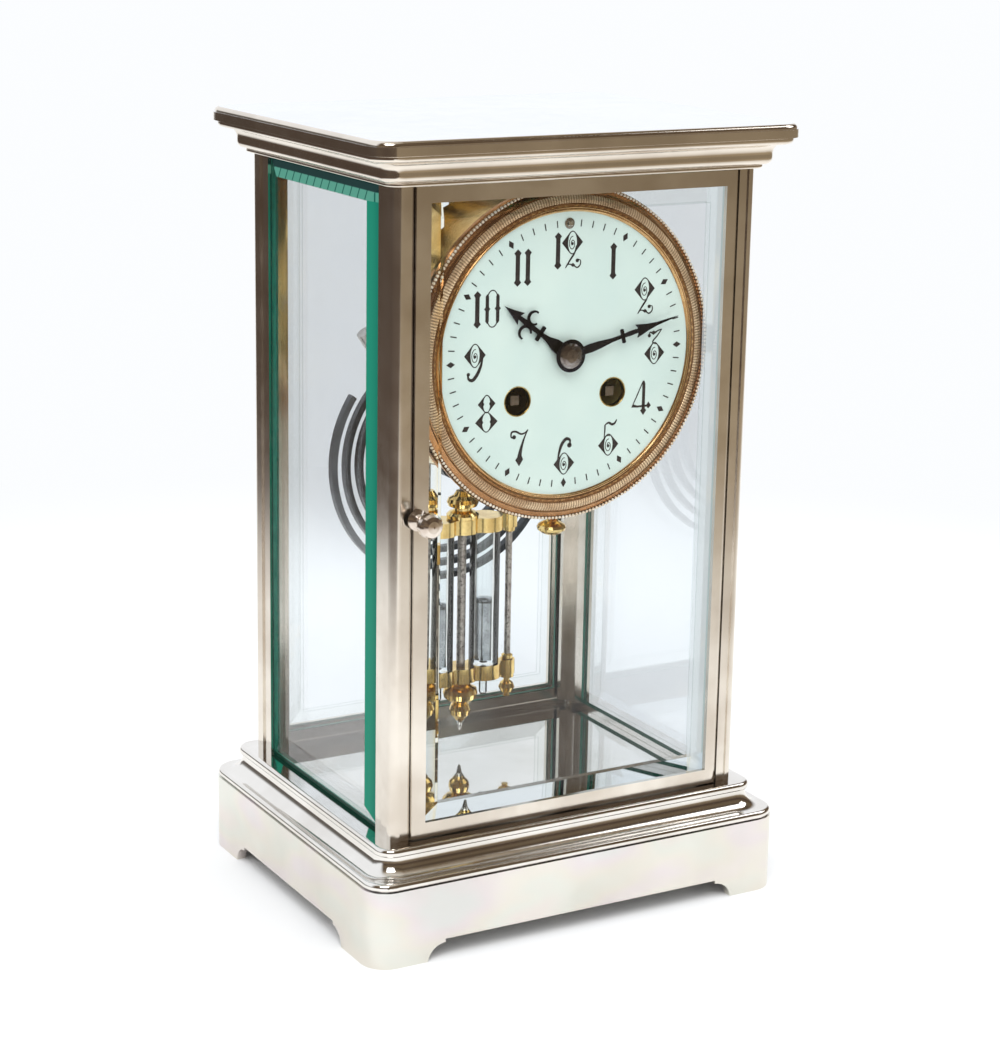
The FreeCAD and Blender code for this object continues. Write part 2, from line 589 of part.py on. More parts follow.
def drum_and_bezel():
    wall = (("-drum_front", "drum_inner"), ("-drum_front", "drum_outer"),
            ("drum_rear", "drum_outer"), ("drum_rear", "drum_inner"))
    turned_level("movement_drum", wall, z="dial_height")
    ring = (
        ("-bezel_back", "49"), ("-bezel_back", "bezel_radius - 0.6"), ("-(bezel_back + 0.8)", "bezel_radius"),
        ("-(bezel_back + 2.2)", "bezel_radius"), ("-(bezel_back + 3.2)", "bezel_radius - 0.9"),
        ("-(bezel_back + 3.9)", "bezel_radius - 2.2"), ("-(bezel_back + 4.4)", "bezel_radius - 3.4"),
        ("-(bezel_front - 0.1)", "bezel_radius - 5.0"), ("-bezel_front", "49.6"),
        ("-bezel_front", "48.6"), ("-(bezel_front - 0.5)", "47.4"), ("-(dial_face + 0.1)", "47.2"),
        ("-(dial_face + 0.1)", "49"),
    )
    turned_level("bezel", ring, z="dial_height")
    knob = (
        ("0", "132.6"), ("2.4", "132.8"), ("3.6", "133.4"), ("4.7", "134.3"), ("5.0", "135.2"),
        ("4.6", "136.1"), ("3.4", "136.9"), ("2.4", "137.4"), ("1.8", "138.4"), ("2.4", "139.8"),
        ("2.4", "141.4"), ("1.7", "142.6"), ("1.7", "147.45"), ("0", "147.45"),
    )
    turned_upright("drum_knob", knob, y="-drum_knob_y")


def dial():
    holes = (("0", "0", "dial_centre_hole"), ("barrel_x", "barrel_z", "winding_hole"),
             ("-barrel_x", "barrel_z", "winding_hole"), ("0", "regulator_z", "regulator_hole"))
    keep(disc_plate("dial", "dial_radius", holes, "dial_face", "dial_face - dial_thickness"), "dial")


GOING_ARBORS = (("intermediate_x", "intermediate_z"), ("third_x", "third_z"), ("0", "escape_z"),
                ("0", "pallet_z"))
STRIKE_ARBORS = (("second_x", "second_z"), ("pin_wheel_x", "pin_wheel_z"),
                 ("warning_x", "warning_z"), ("fly_x", "fly_z"), ("hammer_x", "hammer_z"))


def movement_plates():
    small = [(x, z, "pivot_hole") for x, z in GOING_ARBORS + STRIKE_ARBORS]
    winding = [("barrel_x", "barrel_z", "arbor_bore"), ("-barrel_x", "barrel_z", "arbor_bore")]
    centre = [("0", "0", "centre_arbor_radius + 0.05")]
    front = disc_plate("front_plate", "plate_radius", small + winding + centre,
                       "front_plate_front", "front_plate_back")
    pad(front, circles(front, "minute_stud", "XZ_Plane", (("0", "minute_wheel_z", "stud_radius"),),
                       "front_plate_front"), "6.2")
    keep(front, "front_plate")
    tails = [("barrel_x", "barrel_z", "arbor_pivot_hole"), ("-barrel_x", "barrel_z", "arbor_pivot_hole"),
             ("0", "0", "pivot_hole")]
    keep(disc_plate("back_plate", "plate_radius", small + tails, "back_plate_front", "0"), "back_plate")


def lathe(centre_x, centre_z, profile):
    """A solid turned about a line along Y; the profile's points are (depth, radius)."""
    points = [Vector(size(centre_x), size(y), size("dial_height") + size(centre_z) + size(r))
              for y, r in profile]
    face = Part.Face(Part.makePolygon(points + points[:1]))
    axis = Vector(size(centre_x), 0, size("dial_height") + size(centre_z))
    return face.revolve(axis, Vector(0, 1, 0), 360)


def rod(centre_x, centre_z, y_low, y_high, radius):
    """A round bar along Y, placed from the dial centre."""
    base = Vector(size(centre_x), size(y_low), size("dial_height") + size(centre_z))
    return Part.makeCylinder(size(radius), size(y_high) - size(y_low), base, Vector(0, 1, 0))


def block(low, high):
    lows = [size(value) for value in low]
    highs = [size(value) for value in high]
    spans = [high_value - low_value for low_value, high_value in zip(lows, highs)]
    return Part.makeBox(spans[0], spans[1], spans[2], Vector(lows[0], lows[1], lows[2]))


def feature(label, solids):
    """A sub-part made directly from solids: one alone, or a group of separate ones."""
    item = doc.addObject("Part::Feature", label)
    item.Shape = solids[0] if len(solids) == 1 else Part.makeCompound(solids)
    return keep(item, label)


def fused(solids):
    result = solids[0].fuse(solids[1:])
    return result.removeSplitter()


def one_solid(solids):
    return fused(solids).Solids[0]


def movement_pillars():
    solids = []
    profile = (
        ("-front_plate_back", "0"), ("-front_plate_back", "pillar_radius"),
        ("-front_plate_back + 3", "pillar_radius"), ("-front_plate_back + 5", "pillar_waist"),
        ("-back_plate_front - 5", "pillar_waist"), ("-back_plate_front - 3", "pillar_radius"),
        ("-back_plate_front", "pillar_radius"), ("-back_plate_front", "0"),
    )
    for angle in (0, 60, 120, 180, 270):
        solids.append(lathe("pillar_ring * cos(%d)" % angle, "pillar_ring * sin(%d)" % angle, profile))
    for x, z in (("0", "-36"), ("34", "18"), ("-34", "18")):
        solids.append(rod(x, z, "-(dial_face - dial_thickness)", "-front_plate_front",
                          "dial_pillar_radius"))
    feature("movement_pillars", solids)


def movement_brackets():
    """A strap on each side from the drum to the nearest posts, with a tab against each post."""
    solids = []
    drum = rod("0", "0", "-60", "20", "drum_outer + 0.05")
    for side in (-1, 1):
        far = "(body_half_width - post_inner - 0.1)"
        low, high = sorted((side * size(far), side * 40.0))
        bottom = "dial_height - bracket_half_height"
        top = "dial_height + bracket_half_height"
        strap = block((low, "-bracket_front", bottom), (high, "-bracket_back", top)).cut(drum)
        near, away = sorted((side * size(far), side * (size(far) - 1.4)))
        tab = block((near, "-bracket_tab_back", bottom), (away, "-bracket_back", top))
        solids.append(one_solid([strap, tab]))
    feature("movement_brackets", solids)


def clicks():
    """The click that holds each ratchet, on the front plate. Its tip stands just off the teeth."""
    solids = []
    for side in (-1, 1):
        start = Vector(side * size("barrel_x"), 0, size("barrel_z"))
        pivot = start + Vector(side * 10.3, 0, 8.0)
        away = (pivot - start).normalize()
        across = Vector(-away.z, 0, away.x)
        lift = Vector(0, -size("ratchet_front"), size("dial_height"))
        tip = start + away * (size("ratchet_radius") + 0.35)
        corners = [tip + across * 0.7, tip - across * 0.7, pivot - across * 1.4, pivot + across * 1.4]
        corners = [corner + lift for corner in corners]
        thickness = size("ratchet_front - ratchet_back")
        lever = Part.Face(Part.makePolygon(corners + corners[:1])).extrude(Vector(0, thickness, 0))
        head = Part.makeCylinder(1.8, size("ratchet_front - front_plate_front"), pivot + lift,
                                 Vector(0, 1, 0))
        solids.append(one_solid([lever, head]))
    feature("ratchet_clicks", solids)


# ---------------------------------------------------------------- wheels and pinions

def toothed(teeth, pitch_radius, leaves, phase, front, back):
    """A toothed disc about the origin with its axis along Y, phase being the angle of one
    tooth's middle. Wheel teeth taper outside the pitch circle; leaves have radial flanks."""
    pitch = 2 * math.pi / teeth
    module = 2 * pitch_radius / teeth
    tip = pitch_radius + module * (0.5 if leaves else 0.7)
    root = pitch_radius - module * (1.2 if leaves else 1.0)
    half = pitch * (0.14 if leaves else 0.155)
    tip_half = half * (0.45 if leaves else 0.5)
    root_half = half if leaves else half * 1.15
    corners = []
    for index in range(teeth):
        middle = phase + index * pitch
        for radius, angle in ((root, -root_half), (pitch_radius, -half), (tip, -tip_half),
                              (tip, tip_half), (pitch_radius, half), (root, root_half)):
            turn = middle + angle
            corners.append(Vector(radius * math.cos(turn), -front, radius * math.sin(turn)))
    face = Part.Face(Part.makePolygon(corners + corners[:1]))
    return face.extrude(Vector(0, front - back, 0))


def centre_of(x, z):
    return Vector(size(x), 0, size("dial_height") + size(z))


def mesh_phase(driver, driver_teeth, driver_phase, driven, driven_teeth):
    """The driven wheel's phase that puts a gap of it opposite a tooth of the driver."""
    line = driven - driver
    heading = math.atan2(line.z, line.x)
    part = (heading - driver_phase) * driver_teeth / (2 * math.pi)
    return heading + math.pi - (0.5 - part) * 2 * math.pi / driven_teeth


def wheel(centre, teeth, pitch_radius, phase, front, back, bore, holes=5):
    """A wheel with round lightening holes, bored to sit on its arbor."""
    disc = toothed(teeth, pitch_radius, False, phase, front, back)
    cutters = [Part.makeCylinder(bore, front - back + 2, Vector(0, -front - 1, 0), Vector(0, 1, 0))]
    if holes:
        ring = 0.58 * pitch_radius
        for index in range(holes):
            angle = 2 * math.pi * index / holes
            start = Vector(ring * math.cos(angle), -front - 1, ring * math.sin(angle))
            cutters.append(Part.makeCylinder(0.22 * pitch_radius, front - back + 2, start, Vector(0, 1, 0)))
    disc = disc.cut(Part.makeCompound(cutters))
    disc.translate(centre)
    return disc.Solids[0]


def pinion(centre, leaves, pitch_radius, phase, front, back):
    disc = toothed(leaves, pitch_radius, True, phase, front, back)
    disc.translate(centre)
    return disc


def arbor(x, z, radius, front="front_plate_front - 0.4", back="0.3"):
    """A pivoted arbor between the plates."""
    profile = (
        ("-(%s)" % front, "0"), ("-(%s)" % front, "pivot_radius"),
        ("-(front_plate_back - 0.2)", "pivot_radius"), ("-(front_plate_back - 0.2)", radius),
        ("-(back_plate_front + 0.2)", radius), ("-(back_plate_front + 0.2)", "pivot_radius"),
        ("-(%s)" % back, "pivot_radius"), ("-(%s)" % back, "0"),
    )
    return lathe(x, z, profile)


HUB_GAP = 0.02


def wheel_arbor(label, x, z, radius, wheels, pinions, extra=(), extra_solids=()):
    """An arbor with its leaf pinions cut on it and its wheels pressed over it."""
    centre = centre_of(x, z)
    steel = [arbor(x, z, radius)] + [pinion(centre, *data) for data in pinions] + list(extra)
    brass = [wheel(centre, *data, bore=size(radius) + HUB_GAP) for data in wheels]
    feature(label, [one_solid(steel)] + brass + list(extra_solids))


def barrel_set(train, side, pitch_radius):
    """One spring barrel with its mainspring, and its winding arbor with the ratchet."""
    x = "barrel_x" if side > 0 else "-barrel_x"
    centre = centre_of(x, "barrel_z")
    shell = lathe(x, "barrel_z", (
        ("-barrel_front", "arbor_bore"), ("-barrel_front", "barrel_radius"),
        ("-great_front", "barrel_radius"), ("-great_front", "arbor_bore"),
        ("-great_front - barrel_wall", "arbor_bore"),
        ("-great_front - barrel_wall", "barrel_radius - barrel_wall"),
        ("-barrel_front + barrel_wall", "barrel_radius - barrel_wall"),
        ("-barrel_front + barrel_wall", "arbor_bore")))
    teeth = wheel(centre, 84, pitch_radius, 0.0, size("great_front"), size("great_back"),
                  size("arbor_bore"), holes=0)
    feature(train + "_barrel", [one_solid([shell, teeth])])
    spring = spiral(size("spring_inner"), size("spring_outer"), 7.0, size("spring_strip"),
                    -size("barrel_front") + 1.6, -size("great_front") - 1.6)
    spring.translate(centre)
    feature(train + "_mainspring", [spring])
    profile = (
        ("-square_back", "0"), ("-square_back", "arbor_radius"),
        ("-(back_plate_front + 0.2)", "arbor_radius"), ("-(back_plate_front + 0.2)", "arbor_pivot"),
        ("-0.3", "arbor_pivot"), ("-0.3", "0"))
    square = Part.makeBox(size("2 * square_half"), size("square_front - square_back + 0.5"),
                          size("2 * square_half"),
                          centre + Vector(-size("square_half"), -size("square_front"), -size("square_half")))
    ratchet = saw_wheel(20, size("ratchet_radius"), 1.0, size("ratchet_front"),
                        size("ratchet_back"), side)
    ratchet.translate(centre)
    feature(train + "_winding_arbor", [one_solid([lathe(x, "barrel_z", profile), square, ratchet])])


def saw_wheel(teeth, radius, depth, front, back, hand):
    """A ratchet or escape wheel blank: each tooth has one radial face and one sloping back."""
    corners = []
    for index in range(teeth):
        angle = 2 * math.pi * index / teeth
        corners.append(Vector(radius * math.cos(angle), -front, hand * radius * math.sin(angle)))
        inner = radius - depth
        corners.append(Vector(inner * math.cos(angle), -front, hand * inner * math.sin(angle)))
    face = Part.Face(Part.makePolygon(corners + corners[:1]))
    return face.extrude(Vector(0, front - back, 0))


def spiral(inner, outer, turns, strip, y_low, y_high, tail=None):
    """A flat spiral strip about the Y axis, from the outer radius inwards."""
    def curve(shift):
        points = []
        steps = int(turns * 24)
        for index in range(steps + 1):
            angle = 2 * math.pi * turns * index / steps
            radius = outer + (inner - outer) * index / steps + shift
            points.append(Vector(radius * math.cos(angle), y_low, radius * math.sin(angle)))
        if tail:
            angle = 2 * math.pi * turns
            for distance, lead in tail:
                points.append(Vector((distance + shift) * math.cos(angle + lead), y_low,
                                     (distance + shift) * math.sin(angle + lead)))
        line = Part.BSplineCurve()
        line.interpolate(points)
        return line.toShape(), points
    outside, far = curve(strip / 2)
    inside, near = curve(-strip / 2)
    ends = [Part.makeLine(far[0], near[0]), Part.makeLine(far[-1], near[-1])]
    face = Part.Face(Part.Wire([outside, ends[1], inside, ends[0]]))
    return face.extrude(Vector(0, y_high - y_low, 0))


def distance(first, second):
    return (second - first).Length


def going_train():
    barrel = centre_of("barrel_x", "barrel_z")
    inter = centre_of("intermediate_x", "intermediate_z")
    middle = centre_of("0", "0")
    third = centre_of("third_x", "third_z")
    escape = centre_of("0", "escape_z")
    great = distance(barrel, inter) * 84 / 96
    barrel_set("going", 1, great)
    inter_pinion = (12, great * 12 / 84, mesh_phase(barrel, 84, 0.0, inter, 12), 10.0, 7.2)
    inter_radius = distance(inter, middle) * 72 / 82
    wheel_arbor("going_intermediate_wheel", "intermediate_x", "intermediate_z", "1.2",
                [(72, inter_radius, 0.0, 5.6, 4.6)], [inter_pinion])

    centre_pinion = (10, inter_radius * 10 / 72, mesh_phase(inter, 72, 0.0, middle, 10), 6.2, 4.0)
    centre_radius = distance(middle, third) * 84 / 91
    minute_wheel_centre = centre_of("0", "minute_wheel_z")
    cannon_radius = distance(middle, minute_wheel_centre) * 14 / 56
    front = lathe("0", "0", (("-(minute_hand_front + 0.2)", "0"),
                             ("-(minute_hand_front + 0.2)", "centre_arbor_radius"),
                             ("-(front_plate_back - 1)", "centre_arbor_radius"),
                             ("-(front_plate_back - 1)", "0")))
    steel = [
        lathe("0", "0", (("-front_plate_back + 0.5", "0"), ("-front_plate_back + 0.5", "centre_arbor_radius"),
                         ("-(back_plate_front + 0.2)", "centre_arbor_radius"),
                         ("-(back_plate_front + 0.2)", "pivot_radius"), ("-0.3", "pivot_radius"),
                         ("-0.3", "0"))),
        front, pinion(middle, *centre_pinion)]
    brass = wheel(middle, 84, centre_radius, 0.0, 26.9, 25.9, size("centre_arbor_radius") + HUB_GAP)
    pipe = lathe("0", "0", (("-minute_hand_back", "centre_arbor_radius + 0.02"),
                            ("-minute_hand_back", "cannon_pipe"), ("-31.6", "cannon_pipe"),
                            ("-31.6", "centre_arbor_radius + 0.02")))
    cannon = toothed(14, cannon_radius, True, 0.0, 33.6, 31.6)
    bore = Part.makeCylinder(size("centre_arbor_radius") + 0.02, 4, Vector(0, -34.6, 0), Vector(0, 1, 0))
    cannon = cannon.cut(bore)
    cannon.translate(middle)
    feature("centre_wheel", [one_solid(steel), brass, one_solid([pipe, cannon])])

    third_pinion = (7, centre_radius * 7 / 84, mesh_phase(middle, 84, 0.0, third, 7), 27.4, 25.4)
    third_radius = distance(third, escape) * 84 / 91
    wheel_arbor("going_third_wheel", "third_x", "third_z", "0.9",
                [(84, third_radius, 0.0, 18.0, 17.0)], [third_pinion])

    escape_pinion = (7, third_radius * 7 / 84, mesh_phase(third, 84, 0.0, escape, 7), 18.5, 16.5)
    blank = saw_wheel(34, 7.5, 1.1, 6.0, 5.0, 1)
    blank = blank.cut(Part.makeCylinder(0.8 + HUB_GAP, 3, Vector(0, -7, 0), Vector(0, 1, 0)))
    blank.translate(escape)
    wheel_arbor("escape_wheel", "0", "escape_z", "0.8", [], [escape_pinion], extra_solids=[blank])
    motion_work(middle, minute_wheel_centre, cannon_radius)


def motion_work(middle, stud, cannon_radius):
    """The minute wheel turns on a stud and drives the hour wheel by its own pinion."""
    wheel_radius = cannon_radius * 3
    phase = mesh_phase(middle, 14, 0.0, stud, 42)
    minute = wheel(stud, 42, wheel_radius, phase, 33.3, 32.3, size("stud_bore"), holes=0)
    small = distance(middle, stud) * 10 / 50
    leaves = toothed(10, small, True, 0.0, 35.8, 33.3)
    leaves = leaves.cut(Part.makeCylinder(size("stud_bore"), 5, Vector(0, -37, 0), Vector(0, 1, 0)))
    leaves.translate(stud)
    feature("minute_wheel", [one_solid([minute, leaves])])
    hour_phase = mesh_phase(stud, 10, 0.0, middle, 40)
    hour = wheel(middle, 40, small * 4, hour_phase, 35.2, 34.2, size("hour_bore"), holes=0)
    pipe = lathe("0", "0", (("-hour_hand_back", "hour_bore"), ("-hour_hand_back", "hour_pipe"),
                            ("-34.4", "hour_pipe"), ("-34.4", "hour_bore")))
    feature("hour_wheel", [one_solid([hour, pipe])])


def escapement():
    """The anchor with its two pallet pins, and the crutch that reaches back to the pendulum."""
    pivot = centre_of("0", "pallet_z")
    pins = []
    arms = []
    for side in (-1, 1):
        pin = pivot + Vector(side * 7.05, 0, -5.43)
        pins.append(Part.makeCylinder(0.8, 3.2, pin + Vector(0, -6.6, 0), Vector(0, 1, 0)))
        along = (pin - pivot).normalize()
        across = Vector(-along.z, 0, along.x)
        end = pin + along * 1.1
        corners = [pivot + across * 1.6, pivot - across * 1.6, end - across * 1.1, end + across * 1.1]
        corners = [corner + Vector(0, -4.4, 0) for corner in corners]
        arms.append(Part.Face(Part.makePolygon(corners + corners[:1])).extrude(Vector(0, 1.2, 0)))
    hub = rod("0", "pallet_z", "-4.4", "-3.2", "2.4")
    steel = arbor("0", "pallet_z", "1.0", back="-4.6")
    feature("pallets", [one_solid([steel, hub] + arms + pins)])

    height = "swing_height - 29"
    ring = rod("0", "pallet_z", "3.2", "4.4", "2.4")
    blade = block(("-1.5", "3.2", height), ("1.5", "4.4", "swing_height"))
    foot = block(("-3.6", "3.2", height), ("3.6", "4.4", "swing_height - 25.5"))
    fork = [Part.makeCylinder(0.9, 24, Vector(side * 2.4, 3.8, size("swing_height") - 27.2), Vector(0, 1, 0))
            for side in (-1, 1)]
    hole = rod("0", "pallet_z", "3", "4.6", "pivot_radius + 0.02")
    feature("crutch", [fused([ring, blade, foot] + fork).cut(hole).Solids[0]])


def strike_train():
    barrel = centre_of("-barrel_x", "barrel_z")
    second = centre_of("second_x", "second_z")
    pin = centre_of("pin_wheel_x", "pin_wheel_z")
    warning = centre_of("warning_x", "warning_z")
    fly = centre_of("fly_x", "fly_z")
    great = distance(barrel, second) * 84 / 96
    barrel_set("strike", -1, great)
    second_pinion = (12, great * 12 / 84, mesh_phase(barrel, 84, 0.0, second, 12), 10.0, 7.2)
    second_radius = distance(second, pin) * 84 / 92
    tail = rod("second_x", "second_z", "-0.5", "2.9", "pivot_radius")
    count = saw_wheel(12, 13.0, 1.2, -1.5, -2.5, 1)
    count = count.cut(Part.makeCylinder(size("pivot_radius") + HUB_GAP, 3, Vector(0, 1, 0), Vector(0, 1, 0)))
    count.translate(second)
    wheel_arbor("strike_second_wheel", "second_x", "second_z", "1.2",
                [(84, second_radius, 0.0, 5.8, 4.8)], [second_pinion], extra=[tail],
                extra_solids=[count])

    pin_pinion = (8, second_radius * 8 / 84, mesh_phase(second, 84, 0.0, pin, 8), 6.4, 4.2)
    pin_radius = distance(pin, warning) * 72 / 79
    disc = wheel(pin, 72, pin_radius, 0.0, 20.0, 19.0, 1.0 + HUB_GAP, holes=0)
    studs = [Part.makeCylinder(0.5, 2.8, pin + Vector(7.4 * math.cos(turn), -22.6, 7.4 * math.sin(turn)),
                               Vector(0, 1, 0)) for turn in [index * math.pi / 4 for index in range(8)]]
    wheel_arbor("strike_pin_wheel", "pin_wheel_x", "pin_wheel_z", "1.0", [], [pin_pinion],
                extra_solids=[one_solid([disc] + studs)])

    warning_pinion = (7, pin_radius * 7 / 72, mesh_phase(pin, 72, 0.0, warning, 7), 20.6, 18.4)
    warning_radius = distance(warning, fly) * 56 / 63
    wheel_arbor("strike_warning_wheel", "warning_x", "warning_z", "0.6",
                [(56, warning_radius, 0.0, 24.0, 23.2)], [warning_pinion])

    fly_pinion = (7, warning_radius * 7 / 56, mesh_phase(warning, 56, 0.0, fly, 7), 24.6, 22.6)
    vane = Part.makeBox(9.8, 12.0, 0.6, fly + Vector(-4.9, -21.3, -0.3))
    wheel_arbor("strike_fly", "fly_x", "fly_z", "0.7", [], [fly_pinion], extra=[vane])


def hammer():
    """The arbor, a short tail by the pin wheel, and the arm that carries the head to the gong."""
    pivot = centre_of("hammer_x", "hammer_z")
    gong = Vector(size("gong_x"), 0, size("gong_z"))
    aim = Vector(-0.5606, 0, 0.8281)
    head_centre = gong + aim * (size("gong_outer") + size("gong_strip") / 2 + 1.3 + 5.0)
    along = (head_centre - pivot).normalize()
    across = Vector(-along.z, 0, along.x)
    corners = [pivot + across * 1.8, pivot - across * 1.8, head_centre - across * 1.4,
               head_centre + across * 1.4]
    corners = [corner + Vector(0, 3.6, 0) for corner in corners]
    arm = Part.Face(Part.makePolygon(corners + corners[:1])).extrude(Vector(0, 1.6, 0))
    hub = rod("hammer_x", "hammer_z", "3.6", "5.2", "2.6")
    stem = Part.makeCylinder(1.2, 36.0, head_centre + Vector(0, 4.0, 0), Vector(0, 1, 0))
    head = Part.makeCylinder(3.0, 10.0, head_centre + Vector(0, 40.0, 0) - aim * 5.0, aim)
    tail = rod("hammer_x", "hammer_z", "-22.4", "-20.6", "2.2")
    steel = arbor("hammer_x", "hammer_z", "0.8", back="-5.0")
    feature("hammer", [one_solid([steel, hub, arm, stem, head, tail])])


# ---------------------------------------------------------------- hands

def hand_solid(corners, angle, front, back):
    """A flat shape drawn pointing at twelve, turned clockwise to the angle."""
    turn = math.radians(angle)
    placed = []
    for x, z in corners:
        placed.append(Vector(x * math.cos(turn) + z * math.sin(turn), -front,
                             -x * math.sin(turn) + z * math.cos(turn) + size("dial_height")))
    return Part.Face(Part.makePolygon(placed + placed[:1])).extrude(Vector(0, front - back, 0))


def mirrored(half):
    """A closed outline from its right-hand half, listed from the boss to the tip."""
    return list(half) + [(-x, z) for x, z in reversed(half) if x > 1e-6]


def hands():
    length = size("hour_hand_length")
    half = [(0, -3.0), (1.5, -2.4), (1.7, 0), (0.9, 6.0), (0.8, length - 9.2),
            (2.3, length - 9.0), (2.3, length - 8.2), (1.0, length - 7.8), (3.4, length - 6.4),
            (1.0, length - 2.6), (0, length)]
    blade = hand_solid(mirrored(half), size("hour_hand_angle"), size("hour_hand_front"),
                       size("hour_hand_back"))
    boss = rod("0", "0", "-hour_hand_front", "-hour_hand_back", "4.2")
    hole = rod("0", "0", "-49", "-45", "hour_bore + 0.1")
    feature("hour_hand", [fused([blade, boss]).cut(hole).Solids[0]])

    length = size("minute_hand_length")
    half = [(0, -2.6), (1.3, -2.2), (1.5, 0), (0.8, 9.0), (0.65, length - 17.0),
            (2.0, length - 16.8), (2.0, length - 16.0), (0.8, length - 15.6), (2.4, length - 14.0),
            (0.7, length - 9.0), (0.25, length - 3.0), (0, length)]
    blade = hand_solid(mirrored(half), size("minute_hand_angle"), size("minute_hand_front"),
                       size("minute_hand_back"))
    boss = rod("0", "0", "-minute_hand_front", "-minute_hand_back", "3.4")
    hole = rod("0", "0", "-49", "-45", "centre_arbor_radius + 0.02")
    feature("minute_hand", [fused([blade, boss]).cut(hole).Solids[0]])

    profile = (
        ("-(minute_hand_front + 0.05)", "centre_arbor_radius + 0.03"),
        ("-(minute_hand_front + 0.05)", "collet_radius"),
        ("-(minute_hand_front + 0.3)", "collet_radius"), ("-(minute_hand_front + 0.45)", "4.2"),
        ("-(minute_hand_front + 0.8)", "3.5"), ("-(collet_front - 0.1)", "2.2"), ("-collet_front", "0"),
        ("-(minute_hand_front + 0.25)", "0"),
        ("-(minute_hand_front + 0.25)", "centre_arbor_radius + 0.03"),
    )
    turned_level("hand_collet", profile, z="dial_height")


# ---------------------------------------------------------------- pendulum and gong

def upright(profile, x="0", y="pendulum_y"):
    """A solid turned about a vertical line; the profile's points are (radius, height)."""
    points = [Vector(size(x) + size(r), size(y), size(z)) for r, z in profile]
    face = Part.Face(Part.makePolygon(points + points[:1]))
    return face.revolve(Vector(size(x), size(y), 0), Vector(0, 0, 1), 360)


def yoke(bottom, holes):
    """A thick plate with a scalloped outline, rounder at the jars and at its two ends."""
    height = size("yoke_height")
    discs = []
    for x, radius in (("0", 5.8), ("jar_x", 6.3), ("-jar_x", 6.3), ("side_rod_x", 2.9),
                      ("-side_rod_x", 2.9)):
        discs.append(Part.makeCylinder(radius, height, Vector(size(x), size("pendulum_y"), bottom)))
    for reach, half_depth in ((size("side_rod_x"), 1.9), (size("jar_x") + 4.0, 4.4)):
        corner = Vector(-reach, size("pendulum_y") - half_depth, bottom)
        discs.append(Part.makeBox(2 * reach, 2 * half_depth, height, corner))
    plate = fused(discs)
    for x, radius in holes:
        plate = plate.cut(Part.makeCylinder(radius, height + 2,
                                            Vector(size(x), size("pendulum_y"), bottom - 1)))
    return plate


